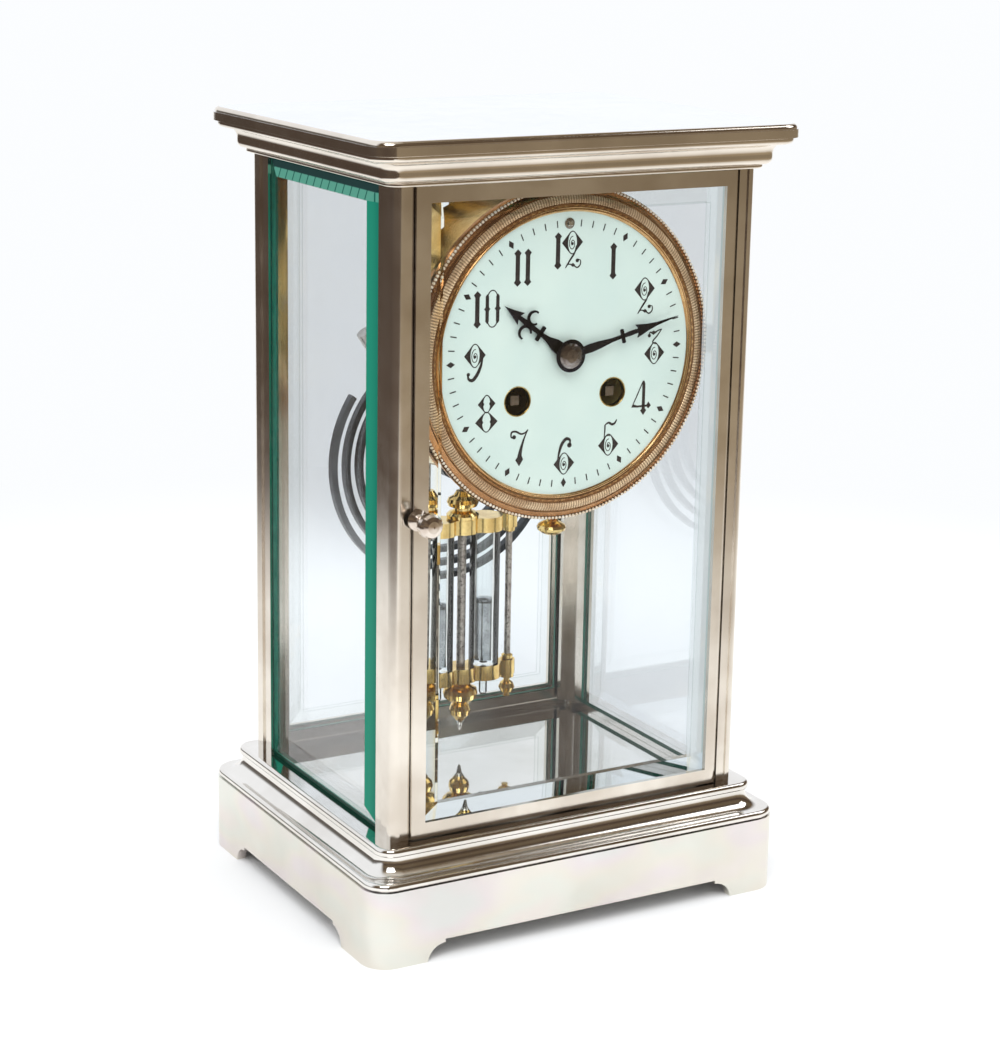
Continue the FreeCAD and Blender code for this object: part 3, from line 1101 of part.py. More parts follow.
def pendulum():
    spring = block(("-0.15", "pendulum_y - 3", "swing_height - 4"),
                   ("0.15", "pendulum_y + 3", "swing_height + 4"))
    chop = block(("-2", "pendulum_y - 4", "swing_height - 9"), ("2", "pendulum_y + 4", "swing_height - 3.6"))
    stem = upright((("0", "134"), ("rod_radius", "134"), ("rod_radius", "swing_height - 8.5"),
                    ("0", "swing_height - 8.5")))
    lower = upright((("0", "lower_yoke_z + yoke_height + 0.05"),
                     ("centre_rod_radius", "lower_yoke_z + yoke_height + 0.05"),
                     ("centre_rod_radius", "upper_yoke_z - 0.05"), ("0", "upper_yoke_z - 0.05")))
    feature("pendulum_rod", [one_solid([spring, chop, stem]), lower])

    upper = yoke(size("upper_yoke_z"), [])
    knob = upright((("0", "123.5"), ("5.6", "123.5"), ("5.9", "125.2"), ("4.9", "126.2"),
                    ("3.2", "126.9"), ("3.2", "127.6"), ("5.2", "128.4"), ("5.8", "129.8"),
                    ("5.2", "131.2"), ("3.4", "132.2"), ("2.4", "133.9"), ("0", "133.9")))
    nipples = [("jar_x", size("nipple_radius") + 0.1), ("-jar_x", size("nipple_radius") + 0.1)]
    finials = []
    for x in ("side_rod_x", "-side_rod_x"):
        finials.append(upright((
            ("0", "53.4"), ("1.3", "53.8"), ("1.0", "54.8"), ("2.2", "55.5"), ("3.0", "57.2"),
            ("2.4", "58.8"), ("1.2", "59.8"), ("1.2", "60.6"), ("2.6", "61.2"), ("2.6", "62.8"),
            ("0", "62.8")), x))
    bottom = fused([yoke(size("lower_yoke_z"), nipples)] + finials)
    feature("pendulum_yokes", [one_solid([upper, knob]), bottom.Solids[0]])

    jars = []
    mercury = []
    rods = []
    floor = size("lower_yoke_z + yoke_height") + 0.1
    for side in ("", "-"):
        jars.append(upright((
            ("0", str(floor - 12.5)), ("1.0", str(floor - 12.3)), ("nipple_radius", str(floor - 11.4)),
            ("nipple_radius", str(floor)), ("jar_radius", str(floor)),
            ("jar_radius", "upper_yoke_z - 0.1"), ("jar_bore", "upper_yoke_z - 0.1"),
            ("jar_bore", str(floor + 1.6)), ("0", str(floor + 1.0))), side + "jar_x"))
        mercury.append(upright((
            ("0", str(floor + 1.7)), ("jar_bore - 0.1", str(floor + 1.8)),
            ("jar_bore - 0.1", "mercury_level - 0.8"), ("jar_bore - 0.6", "mercury_level - 0.3"),
            ("jar_bore - 2.2", "mercury_level"), ("0", "mercury_level + 0.2")), side + "jar_x"))
        rods.append(upright((
            ("0", str(floor)), ("2.1", str(floor)), ("2.1", str(floor + 1.4)),
            ("side_rod_radius", str(floor + 2.0)), ("side_rod_radius", "upper_yoke_z - 2.2"),
            ("2.1", "upper_yoke_z - 1.6"), ("2.1", "upper_yoke_z - 0.1"),
            ("0", "upper_yoke_z - 0.1")), side + "side_rod_x"))
    feature("pendulum_jars", jars)
    feature("pendulum_mercury", mercury)
    feature("pendulum_side_rods", rods)

    nut = (
        ("0", "42.9"), ("0.5", "43.6"), ("1.1", "46.4"), ("2.4", "48.4"), ("3.6", "49.6"),
        ("3.9", "51.4"), ("3.4", "53.2"), ("2.2", "54.2"), ("4.6", "54.9"), ("6.0", "56.2"),
        ("6.4", "58.0"), ("6.0", "59.6"), ("4.2", "60.6"), ("3.4", "61.4"), ("4.4", "62.6"),
        ("0", "62.6"),
    )
    turned_upright("rating_nut", nut, y="pendulum_y")


def suspension_bracket():
    foot = block(("-7", "0.05", "dial_height + 36.8"), ("7", "2.6", "dial_height + 43.6"))
    arm = block(("-5", "2.5", "swing_height + 5.2"), ("5", "27", "swing_height + 8.2"))
    cheeks = [block((low, "19", "swing_height + 1.5"), (high, "27", "swing_height + 5.4"))
              for low, high in (("-3.4", "-0.9"), ("0.9", "3.4"))]
    feature("suspension_bracket", [one_solid([foot, arm] + cheeks)])


def gong():
    """The coil gong and the stand that carries its centre block behind the pendulum."""
    outer = size("gong_outer") - size("gong_strip") / 2
    inner = size("gong_outer - gong_pitch * gong_turns")
    tail = [(inner - 1.6, 0.35), (inner - 5.0, 0.62), (inner - 10.0, 0.80), (7.4, 0.98)]
    coil = spiral(inner, outer, size("gong_turns"), size("gong_strip"), size("gong_front"),
                  size("gong_back"), tail)
    coil.rotate(Vector(0, 0, 0), Vector(0, 1, 0), 215)
    coil.translate(Vector(size("gong_x"), 0, size("gong_z")))
    feature("gong_coil", [coil])

    foot = Part.makeCylinder(4.5, 3, Vector(size("gong_foot_x"), 0.05, size("gong_foot_z")), Vector(0, 1, 0))
    stem = Part.makeCylinder(2.4, 36, Vector(size("gong_foot_x"), 0.05, size("gong_foot_z")), Vector(0, 1, 0))
    start = Vector(size("gong_foot_x"), 32, size("gong_foot_z"))
    end = Vector(size("gong_x"), 32, size("gong_z"))
    along = (end - start).normalize()
    across = Vector(-along.z, 0, along.x)
    corners = [start - along * 3 + across * 2.6, start - along * 3 - across * 2.6,
               end - across * 3.4, end + across * 3.4]
    bar = Part.Face(Part.makePolygon(corners + corners[:1])).extrude(Vector(0, 4, 0))
    boss = Part.makeCylinder(6.0, 11, end, Vector(0, 1, 0))
    feature("gong_stand", [one_solid([foot, stem, bar, boss])])


# ---------------------------------------------------------------- build and write

plinth()
base_moulding()
floor_plate()
corner_post("corner_post_front_left", -1, -1, True)
corner_post("corner_post_front_right", 1, -1, False)
corner_post("corner_post_rear_left", -1, 1, False)
corner_post("corner_post_rear_right", 1, 1, True)
cornice()
top_plate()
side_glass("side_glass_left", -1)
side_glass("side_glass_right", 1)
door("front", -1)
door("rear", 1)
case_screws()
drum_and_bezel()
dial()
movement_plates()
movement_pillars()
movement_brackets()
clicks()
going_train()
escapement()
strike_train()
hammer()
hands()
pendulum()
suspension_bracket()
gong()

doc.recompute()
for item in doc.Objects:
    if "Invalid" in item.State or "Error" in item.State:
        raise ValueError("%s did not build: %s" % (item.Label, item.State))

os.makedirs("parts", exist_ok=True)
for item in nodes:
    if item.Shape.isNull() or not item.Shape.isValid() or not item.Shape.Solids:
        raise ValueError(item.Label + " is not a valid solid")
    item.Shape.exportStep("parts/%s.step" % item.Label)
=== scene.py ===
"""Looks of the four-glass mantel clock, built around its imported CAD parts."""

import math

import bmesh
import bpy
from mathutils import Matrix, Vector


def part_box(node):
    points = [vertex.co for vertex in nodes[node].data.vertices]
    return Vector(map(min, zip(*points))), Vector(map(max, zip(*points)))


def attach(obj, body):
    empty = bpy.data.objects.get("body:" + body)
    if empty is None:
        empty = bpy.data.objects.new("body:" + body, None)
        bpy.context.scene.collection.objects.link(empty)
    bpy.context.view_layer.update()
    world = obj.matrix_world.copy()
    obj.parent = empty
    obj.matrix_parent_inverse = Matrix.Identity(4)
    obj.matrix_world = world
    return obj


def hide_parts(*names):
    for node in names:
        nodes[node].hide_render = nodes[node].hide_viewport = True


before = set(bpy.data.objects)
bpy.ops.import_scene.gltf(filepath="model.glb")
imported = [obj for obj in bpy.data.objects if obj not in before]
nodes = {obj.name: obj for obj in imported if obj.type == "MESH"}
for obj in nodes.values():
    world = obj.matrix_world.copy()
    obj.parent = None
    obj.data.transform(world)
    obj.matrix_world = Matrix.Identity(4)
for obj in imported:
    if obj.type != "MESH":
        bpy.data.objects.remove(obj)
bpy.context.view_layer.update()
MM = 0.001

# The pieces are drawn in millimetres, x to the right, y to the back and z up. The floor, the
# lights and the camera are placed in metres.
DIAL_Z = 195.5
DIAL_FACE = -46.0

# ---------------------------------------------------------------- node graphs


class Graph:
    """A small helper that builds one node tree."""

    def __init__(self, tree):
        self.tree = tree
        tree.nodes.clear()

    def add(self, kind, inputs=None, **settings):
        node = self.tree.nodes.new(kind)
        for key, value in settings.items():
            setattr(node, key, value)
        for key, value in (inputs or {}).items():
            if isinstance(value, bpy.types.NodeSocket):
                self.tree.links.new(value, node.inputs[key])
            elif value is not None:
                socket = node.inputs[key]
                if socket.type == "RGBA" and len(value) == 3:
                    value = (*value, 1.0)
                socket.default_value = value
        return node

    def math(self, operation, a, b=None, c=None, clamp=False):
        inputs = {0: a, 1: b, 2: c}
        return self.add("ShaderNodeMath", inputs, operation=operation, use_clamp=clamp).outputs[0]

    def vector(self, operation, a, b=None, output=0):
        return self.add("ShaderNodeVectorMath", {0: a, 1: b}, operation=operation).outputs[output]

    def mix(self, factor, a, b, blend="MIX"):
        node = self.add("ShaderNodeMix", {0: factor, 6: a, 7: b}, data_type="RGBA", blend_type=blend)
        return node.outputs[2]

    def step(self, value, low, high, at_low=0.0, at_high=1.0):
        """A smooth step from at_low to at_high."""
        inputs = {0: value, 1: low, 2: high, 3: at_low, 4: at_high}
        return self.add("ShaderNodeMapRange", inputs, interpolation_type="SMOOTHSTEP").outputs[0]

    def ramp(self, factor, stops):
        node = self.add("ShaderNodeValToRGB", {0: factor})
        elements = node.color_ramp.elements
        while len(elements) < len(stops):
            elements.new(1.0)
        for element, (position, colour) in zip(elements, stops):
            element.position = position
            element.color = (*colour, 1.0)
        return node.outputs[0]

    def place(self):
        """The point on the object in the rest frame, in millimetres."""
        here = self.add("ShaderNodeTexCoord").outputs["Object"]
        return self.vector("MULTIPLY", here, (1000.0, 1000.0, 1000.0))

    def noise(self, point, scale, detail=3.0, roughness=0.5, stretch=(1.0, 1.0, 1.0), colour=False):
        """Noise whose grains are about `scale` millimetres wide, drawn out by `stretch`."""
        ratio = [1.0 / (scale * amount) for amount in stretch]
        shrunk = self.vector("MULTIPLY", point, ratio)
        inputs = {"Vector": shrunk, "Scale": 1.0, "Detail": detail, "Roughness": roughness}
        return self.add("ShaderNodeTexNoise", inputs).outputs[1 if colour else 0]

    def split(self, vector):
        return self.add("ShaderNodeSeparateXYZ", {0: vector}).outputs

    def bump(self, height, distance, strength=1.0):
        inputs = {"Height": height, "Distance": distance * MM, "Strength": strength}
        return self.add("ShaderNodeBump", inputs).outputs[0]

    def blend(self, factor, a, b):
        return self.add("ShaderNodeMixShader", {0: factor, 1: a, 2: b}).outputs[0]

    def light_path(self, name):
        return self.add("ShaderNodeLightPath").outputs[name]


def new_material(name):
    material = bpy.data.materials.new(name)
    material.use_nodes = True
    return material, Graph(material.node_tree)


def finish_material(graph, surface):
    graph.add("ShaderNodeOutputMaterial", {"Surface": surface})


def metal(name, light, dark, roughness, grain=(1.0, 1.0, 1.0), grain_size=0.4, grain_bump=0.004,
          patch=26.0, spots=0.0, sheen=0.0, ribs=0, metallic=1.0):
    """Worked metal: two tones in soft patches, fine scratches along the grain, and smudges.
    Ribs gives that number of dark stripes of painted shade, for grooves that run outwards round the dial."""
    material, g = new_material(name)
    point = g.place()
    patches = g.noise(point, patch, 4.0, 0.55)
    tone = g.mix(g.step(patches, 0.35, 0.68), light, dark)
    scratches = g.noise(point, grain_size, 2.0, 0.6, grain)
    tone = g.mix(g.math("MULTIPLY", scratches, 0.16), tone, dark)
    if spots:
        speckle = g.noise(point, 1.1, 5.0, 0.7)
        worn = g.step(speckle, 0.50, 0.62)
        tone = g.mix(g.math("MULTIPLY", worn, spots), tone, [0.32 * part for part in dark])
    if sheen:
        hue = g.noise(point, 38.0, 2.0, 0.4, (1.0, 1.0, 0.45))
        rainbow = g.ramp(hue, ((0.30, (1.0, 0.94, 0.91)), (0.42, (0.93, 1.0, 0.93)),
                               (0.52, (1.0, 0.98, 0.89)), (0.62, (0.98, 0.90, 0.98)),
                               (0.74, (0.89, 0.96, 1.0))))
        tone = g.mix(sheen, tone, rainbow, "MULTIPLY")
    # Painted shade: dark stripes where the milled grooves between the ribs lie.
    if ribs:
        parts = g.split(point)
        turn = g.math("ARCTAN2", g.math("SUBTRACT", parts[2], DIAL_Z), parts[0])
        rib_shade = g.math("FRACT", g.math("MULTIPLY", turn, ribs / (2 * math.pi)))
        rib_shade = g.step(g.math("ABSOLUTE", g.math("SUBTRACT", rib_shade, 0.5)), 0.20, 0.40)
        tone = g.mix(g.math("MULTIPLY", rib_shade, 0.85), tone, [0.45 * part for part in dark])
    smudge = g.noise(point, 9.0, 3.0, 0.6)
    rough = g.math("MULTIPLY_ADD", smudge, roughness * 0.9, roughness * 0.55)
    normal = g.bump(g.math("ADD", scratches, g.math("MULTIPLY", patches, 0.6)), grain_bump)
    inputs = {"Base Color": tone, "Metallic": metallic, "Roughness": rough, "Normal": normal}
    finish_material(g, g.add("ShaderNodeBsdfPrincipled", inputs).outputs[0])
    return material


RIBS = 340
NICKEL_LIGHT = (0.80, 0.76, 0.70)
NICKEL_DARK = (0.62, 0.565, 0.50)
BRASS_LIGHT = (0.92, 0.70, 0.30)
BRASS_DARK = (0.70, 0.47, 0.16)
GILT_LIGHT = (0.60, 0.31, 0.14)
GILT_DARK = (0.42, 0.20, 0.085)
STEEL_LIGHT = (0.62, 0.60, 0.57)
STEEL_DARK = (0.40, 0.38, 0.35)

nickel_plinth = metal("nickel_plinth", (0.80, 0.79, 0.78), (0.72, 0.705, 0.685), 0.20,
                      (30.0, 30.0, 1.0), 0.5, 0.003, 40.0, sheen=0.55)
nickel_moulding = metal("nickel_moulding", (0.83, 0.82, 0.80), (0.72, 0.70, 0.67), 0.11,
                        (26.0, 26.0, 1.0), 0.45, 0.002, 34.0)
nickel_cornice = metal("nickel_cornice", (0.80, 0.745, 0.675), (0.66, 0.605, 0.54), 0.13,
                       (26.0, 26.0, 1.0), 0.45, 0.002, 34.0)
# A pale blue copy of the nickel for faces that look up: painted reflection of the sky.
nickel_painted_sky_reflection = metal("nickel_painted_sky_reflection", (0.83, 0.87, 0.97), (0.78, 0.83, 0.93), 0.16,
                   (26.0, 26.0, 1.0), 0.45, 0.001, 60.0)
nickel_upright = metal("nickel_upright", NICKEL_LIGHT, NICKEL_DARK, 0.17,
                       (1.0, 1.0, 60.0), 0.35, 0.003, 30.0)
nickel_turned = metal("nickel_turned", (0.80, 0.74, 0.68), (0.60, 0.52, 0.46), 0.16,
                      (1.0, 14.0, 1.0), 0.3, 0.003, 6.0)
nickel_mirror = metal("nickel_mirror", (0.79, 0.775, 0.74), (0.71, 0.695, 0.65), 0.045,
                      (1.0, 20.0, 1.0), 0.5, 0.0008, 40.0)
brass_polished = metal("brass_polished", BRASS_LIGHT, BRASS_DARK, 0.13,
                       (8.0, 8.0, 1.0), 0.3, 0.002, 14.0, spots=0.12)
brass_grained = metal("brass_grained", BRASS_LIGHT, BRASS_DARK, 0.26,
                      (1.0, 1.0, 22.0), 0.25, 0.004, 16.0, spots=0.15)
brass_wheel = metal("brass_wheel", (0.90, 0.68, 0.31), BRASS_DARK, 0.22,
                    (1.0, 1.0, 1.0), 0.3, 0.002, 7.0)
gilt = metal("gilt_bezel", GILT_LIGHT, GILT_DARK, 0.19, (1.0, 1.0, 1.0), 0.35, 0.003, 9.0, spots=0.10)
# Paler and far less metallic than the bezel's gilt: a painted highlight on each pearl.
gilt_pearl = metal("gilt_pearl", (1.0, 0.90, 0.76), (0.86, 0.66, 0.46), 0.22,
                   (1.0, 1.0, 1.0), 0.3, 0.001, 5.0, metallic=0.3)
# Paler and less metallic than the bezel's gilt: painted highlights on the milled ridges, with painted rib
# shade between them.
gilt_ribbed = metal("gilt_ribbed", (0.90, 0.66, 0.42), (0.64, 0.40, 0.22), 0.24,
                    (1.0, 1.0, 1.0), 0.3, 0.0005, 8.0, ribs=RIBS, metallic=0.6)
# Near-black gilt for rings of painted shade in the bezel's grooves and between its pearls.
gilt_painted_shade = metal("gilt_painted_shade", (0.26, 0.135, 0.06), (0.15, 0.075, 0.035), 0.34,
                   (1.0, 1.0, 1.0), 0.3, 0.002, 6.0)
gilt_lip = metal("gilt_lip", (0.86, 0.55, 0.27), (0.66, 0.38, 0.17), 0.14,
                 (1.0, 1.0, 1.0), 0.3, 0.0002, 8.0)
steel = metal("steel", STEEL_LIGHT, STEEL_DARK, 0.22, (1.0, 12.0, 1.0), 0.3, 0.003, 7.0)
steel_mottled = metal("steel_mottled", (0.60, 0.56, 0.52), (0.36, 0.32, 0.29), 0.34,
                      (1.0, 1.0, 1.6), 0.5, 0.02, 3.0, spots=0.75)
steel_bright = metal("steel_bright", (0.80, 0.79, 0.77), (0.55, 0.54, 0.52), 0.12,
                     (1.0, 1.0, 8.0), 0.3, 0.001, 6.0)
blued = metal("blued_steel", (0.045, 0.045, 0.060), (0.018, 0.018, 0.026), 0.26,
              (1.0, 1.0, 1.0), 0.3, 0.003, 5.0)
iron = metal("gong_iron", (0.060, 0.072, 0.084), (0.028, 0.034, 0.042), 0.36,
             (1.0, 1.0, 1.0), 0.6, 0.01, 6.0, spots=0.3)
mercury = metal("mercury", (0.42, 0.43, 0.45), (0.26, 0.27, 0.29), 0.10,
                (1.0, 1.0, 1.0), 1.2, 0.004, 3.0)
# Darker steel. On the winding arbors it also stands for painted shade, as they sit deep in their holes.
dark_steel_and_hole_shade = metal("collet_steel_and_hole_shade", (0.36, 0.32, 0.31), (0.20, 0.17, 0.16), 0.16,
                    (1.0, 1.0, 1.0), 0.3, 0.002, 4.0)


def enamel_material():
    """Fired white enamel with a hint of green, faintly uneven under a clear glaze."""
    material, g = new_material("enamel")
    point = g.place()
    cloud = g.noise(point, 22.0, 4.0, 0.5)
    tone = g.mix(g.step(cloud, 0.3, 0.7), (0.645, 0.745, 0.675), (0.60, 0.71, 0.65))
    specks = g.step(g.noise(point, 0.55, 2.0, 0.5), 0.74, 0.80)
    tone = g.mix(g.math("MULTIPLY", specks, 0.18), tone, (0.42, 0.40, 0.33))
    orange_peel = g.noise(point, 2.6, 2.0, 0.5)
    inputs = {
        "Base Color": tone, "Roughness": 0.32, "Coat Weight": 0.8, "Coat Roughness": 0.04,
        "Normal": g.bump(orange_peel, 0.01),
    }
    finish_material(g, g.add("ShaderNodeBsdfPrincipled", inputs).outputs[0])
    return material


def ink_material():
    """Fired dark-brown enamel, a little thin where the brush lifted."""
    material, g = new_material("ink")
    thin = g.step(g.noise(g.place(), 0.8, 3.0, 0.6), 0.55, 0.8)
    tone = g.mix(g.math("MULTIPLY", thin, 0.5), (0.016, 0.010, 0.012), (0.10, 0.075, 0.07))
    inputs = {"Base Color": tone, "Roughness": 0.35, "Coat Weight": 0.3}
    finish_material(g, g.add("ShaderNodeBsdfPrincipled", inputs).outputs[0])
    return material


def rim_distance(g, parts, across, half_across, low, high, side_bevel, top_bevel, foot_bevel):
    """How far a point lies inside the side bevels, the top one and the foot one, in
    millimetres; each is above 0 on that bevel."""
    sideways = g.math("SUBTRACT", g.math("ABSOLUTE", parts[across]), half_across - side_bevel)
    top = g.math("SUBTRACT", parts[2], high - top_bevel)
    return sideways, top, g.math("SUBTRACT", low + foot_bevel, parts[2])


def trapped_green(g, point, parts, across, top, foot, inside):
    """A painted green glow with bands of painted shade, for the light of thick glass where a
    bevel sends the view along inside the plate. Returns how far the view is trapped, and the shader for it."""
    nick_pitch = 5.4
    geometry = g.add("ShaderNodeNewGeometry")
    inwards = g.vector("MULTIPLY", geometry.outputs["Incoming"], (-1.0, -1.0, -1.0))
    bent = g.add("ShaderNodeVectorMath", {0: inwards, 1: geometry.outputs["True Normal"],
                                          "Scale": 1 / 1.5}, operation="REFRACT").outputs[0]
    on_top = g.math("GREATER_THAN", top, 0.0)
    on_foot = g.math("GREATER_THAN", foot, 0.0)
    leaving = g.math("ABSOLUTE", g.split(bent)[1 - across])
    leaving = g.math("SUBTRACT", leaving, g.math("MULTIPLY", on_top, 0.09))
    leaving = g.math("SUBTRACT", leaving, on_foot)
    outer = g.math("SUBTRACT", 1.0, geometry.outputs["Backfacing"])
    trapped = g.math("MULTIPLY", g.step(leaving, 0.79, 0.74), outer)
    along_pitch = g.math("FRACT", g.math("DIVIDE", parts[across], nick_pitch))
    nicks = g.step(g.math("ABSOLUTE", g.math("SUBTRACT", along_pitch, 0.5)), 0.40, 0.47)
    streaks = g.noise(point, 2.2, 3.0, 0.6, (1.0, 1.0, 14.0))
    # Painted shade: the green darkens deeper into the bevel, with a near-black band there, over the upper
    # part of the top bevel and along the foot.
    green = g.mix(g.step(inside, 1.4, 8.2), (0.020, 0.275, 0.175), (0.008, 0.15, 0.105))
    green = g.mix(g.math("MULTIPLY", streaks, 0.5), green, (0.02, 0.24, 0.17))
    green = g.mix(g.step(inside, 6.4, 7.2), green, (0.004, 0.035, 0.034))
    painted_pale_glow = g.mix(nicks, (0.10, 0.36, 0.27), (0.015, 0.12, 0.09))
    painted_pale_glow = g.mix(g.step(top, 2.8, 3.2), painted_pale_glow, (0.008, 0.040, 0.038))
    green = g.mix(on_top, green, painted_pale_glow)
    green = g.mix(on_foot, green, (0.006, 0.045, 0.030))
    glow = g.add("ShaderNodeEmission", {0: green, 1: 0.9}).outputs[0]
    skin = g.add("ShaderNodeBsdfPrincipled", {"Base Color": green, "Roughness": 0.1}).outputs[0]
    return trapped, g.blend(0.25, glow, skin)


def pane_material(name, across, half_across, low, high, side_bevel, thick=False, bending=False):
    """Plate glass with its bevels, tinted darker there as painted shade. A thick pane shows a
    painted green glow where its bevel traps the view. A bending one truly refracts on its left and
    lower bevels with a painted colour fringe, and its right one has a painted pale glow for the
    light of the room. Light and shadow pass as if the pane were thin."""
    material, g = new_material(name)
    point = g.place()
    parts = g.split(point)
    foot_bevel = 1.5 if thick else 6.5
    sideways, top, foot = rim_distance(g, parts, across, half_across, low, high, side_bevel, 6.5,
                                       foot_bevel)
    inside = g.math("MAXIMUM", g.math("MAXIMUM", sideways, top), foot)
    smear = g.noise(point, 34.0, 4.0, 0.6, (1.0, 1.0, 2.2))
    tint = g.mix(g.step(smear, 0.3, 0.75), (0.976, 0.986, 0.992), (0.964, 0.977, 0.986))
    # Painted shade: the bevels are tinted darker, and darker still in a thin line along their inner edge.
    on_bevel = g.math("GREATER_THAN", inside, 0.0)
    tint = g.mix(on_bevel, tint, (0.940, 0.956, 0.956))
    ridge = g.step(g.math("ABSOLUTE", inside), 0.30, 0.12)
    tint = g.mix(ridge, tint, (0.83, 0.86, 0.86))
    straight = g.add("ShaderNodeBsdfTransparent", {0: tint}).outputs[0]
    mirror = g.add("ShaderNodeBsdfGlossy", {"Color": (0.95, 0.97, 1.0), "Roughness": 0.0}).outputs[0]
    sheen = g.math("MULTIPLY", g.add("ShaderNodeFresnel", {"IOR": 1.5}).outputs[0], 0.3)
    glass = g.blend(sheen, straight, mirror)
    if bending:
        # Painted colour fringe across the left bevel, tinting the light it refracts.
        fringe = g.ramp(g.math("DIVIDE", sideways, side_bevel),
                        ((0.0, (1.0, 0.95, 0.80)), (0.16, (0.99, 0.99, 0.95)),
                         (0.58, (0.95, 0.985, 1.0)), (0.92, (0.72, 0.86, 1.0))))
        clear = g.mix(g.math("GREATER_THAN", sideways, 0.0), (0.95, 0.98, 1.0), fringe)
        refracted = g.add("ShaderNodeBsdfRefraction", {"Color": clear, "Roughness": 0.0, "IOR": 1.5})
        on_left = g.math("MULTIPLY", g.math("GREATER_THAN", sideways, 0.0),
                         g.math("LESS_THAN", parts[across], 0.0))
        bends = g.math("MAXIMUM", on_left, g.math("GREATER_THAN", foot, 0.0))
        glass = g.blend(bends, glass, g.blend(sheen, refracted.outputs[0], mirror))
        # Painted glow: the right bevel glows pale, for the light of the room it would gather.
        on_right = g.math("MULTIPLY", g.math("GREATER_THAN", sideways, 0.25),
                          g.math("GREATER_THAN", parts[across], 0.0))
        painted_pale_glow = g.add("ShaderNodeEmission", {0: (0.68, 0.74, 0.76), 1: 1.0}).outputs[0]
        glass = g.blend(g.math("MULTIPLY", on_right, 0.55), glass, painted_pale_glow)
    if thick:
        trapped, green = trapped_green(g, point, parts, across, top, foot, inside)
        glass = g.blend(g.math("MULTIPLY", on_bevel, trapped), glass, green)
    passing = g.math("MAXIMUM", g.light_path("Is Shadow Ray"), g.light_path("Is Diffuse Ray"))
    thin = g.add("ShaderNodeBsdfTransparent", {0: (0.955, 0.965, 0.965)}).outputs[0]
    finish_material(g, g.blend(passing, glass, thin))
    return material


def glass_edge_material():
    """The ground edge of the plate: deep bottle green with grinding marks."""
    material, g = new_material("glass_edge")
    point = g.place()
    marks = g.noise(point, 0.7, 3.0, 0.6, (1.0, 1.0, 5.0))
    tone = g.mix(marks, (0.012, 0.10, 0.075), (0.04, 0.26, 0.18))
    inputs = {"Base Color": tone, "Roughness": 0.25}
    finish_material(g, g.add("ShaderNodeBsdfPrincipled", inputs).outputs[0])
    return material


def tube_material():
    """Blown tube glass, with faint drawn lines, for the mercury jars."""
    material, g = new_material("jar_glass")
    point = g.place()
    lines = g.noise(point, 0.8, 2.0, 0.6, (1.0, 1.0, 40.0))
    normal = g.bump(lines, 0.02)
    # Painted shade: the glass is tinted darker where the tube turns away from the view.
    facing = g.add("ShaderNodeLayerWeight", {"Blend": 0.35, "Normal": normal}).outputs["Facing"]
    tint = g.mix(g.step(facing, 0.35, 0.95), (0.95, 0.965, 0.965), (0.46, 0.52, 0.52))
    clear = g.add("ShaderNodeBsdfTransparent", {0: tint}).outputs[0]
    shine = g.add("ShaderNodeBsdfGlossy", {"Color": (1.0, 1.0, 1.0), "Roughness": 0.03,
                                           "Normal": normal}).outputs[0]
    fresnel = g.add("ShaderNodeFresnel", {"IOR": 1.5, "Normal": normal}).outputs[0]
    finish_material(g, g.blend(fresnel, clear, shine))
    return material


enamel = enamel_material()
ink = ink_material()
glass_edge = glass_edge_material()
jar_glass = tube_material()
side_pane = pane_material("side_pane", 1, 43.0, 38.6, 254.7, 9.0, thick=True)
front_pane = pane_material("front_pane", 0, 56.75, 42.95, 250.45, 6.5, bending=True)
rear_pane = pane_material("rear_pane", 0, 56.75, 42.95, 250.45, 6.5)

# ---------------------------------------------------------------- finishes of the CAD parts


def dress(names, *materials, choose=None):
    """Give CAD parts their material, or one of several, picked face by face."""
    for name in names:
        mesh = nodes[name].data
        mesh.materials.clear()
        for material in materials:
            mesh.materials.append(material)
        picks = [choose(face) if choose else 0 for face in mesh.polygons]
        mesh.polygons.foreach_set("material_index", picks)
        mesh.update()


def near_axis(radius, x=0.0, z=DIAL_Z):
    """Picks the second material within a radius of a line along y."""
    return lambda face: int(math.hypot(face.center.x - x * MM, face.center.z - z * MM) < radius * MM)


def facing(*axes):
    """Picks the second material for faces square to one of the axes."""
    return lambda face: int(max(abs(face.normal[axis]) for axis in axes) > 0.9)


POSTS = ["corner_post_front_left", "corner_post_front_right", "corner_post_rear_left",
         "corner_post_rear_right"]
dress(["plinth"], nickel_plinth)
dress(["base_moulding"], nickel_moulding)
dress(["cornice"], nickel_cornice)
# The top plate's upward faces get the painted sky reflection; the rest is cornice nickel.
dress(["top_plate"], nickel_cornice, nickel_painted_sky_reflection, choose=lambda face: int(face.normal.z > 0.99))
dress(POSTS + ["front_door_frame", "rear_door_frame", "movement_brackets"], nickel_upright)
dress(["front_door_knob", "rear_door_knob"], nickel_turned)
dress(["floor_plate"], nickel_mirror)
dress(["side_glass_left", "side_glass_right"], side_pane, glass_edge, choose=facing(1, 2))
for glass_name, pane in (("front_door_glass", front_pane), ("rear_door_glass", rear_pane)):
    dress([glass_name], pane, glass_edge, choose=facing(0, 2))
dress(["front_door_hinge_pins", "rear_door_hinge_pins", "case_screws", "pallets", "crutch",
       "hammer"], steel)
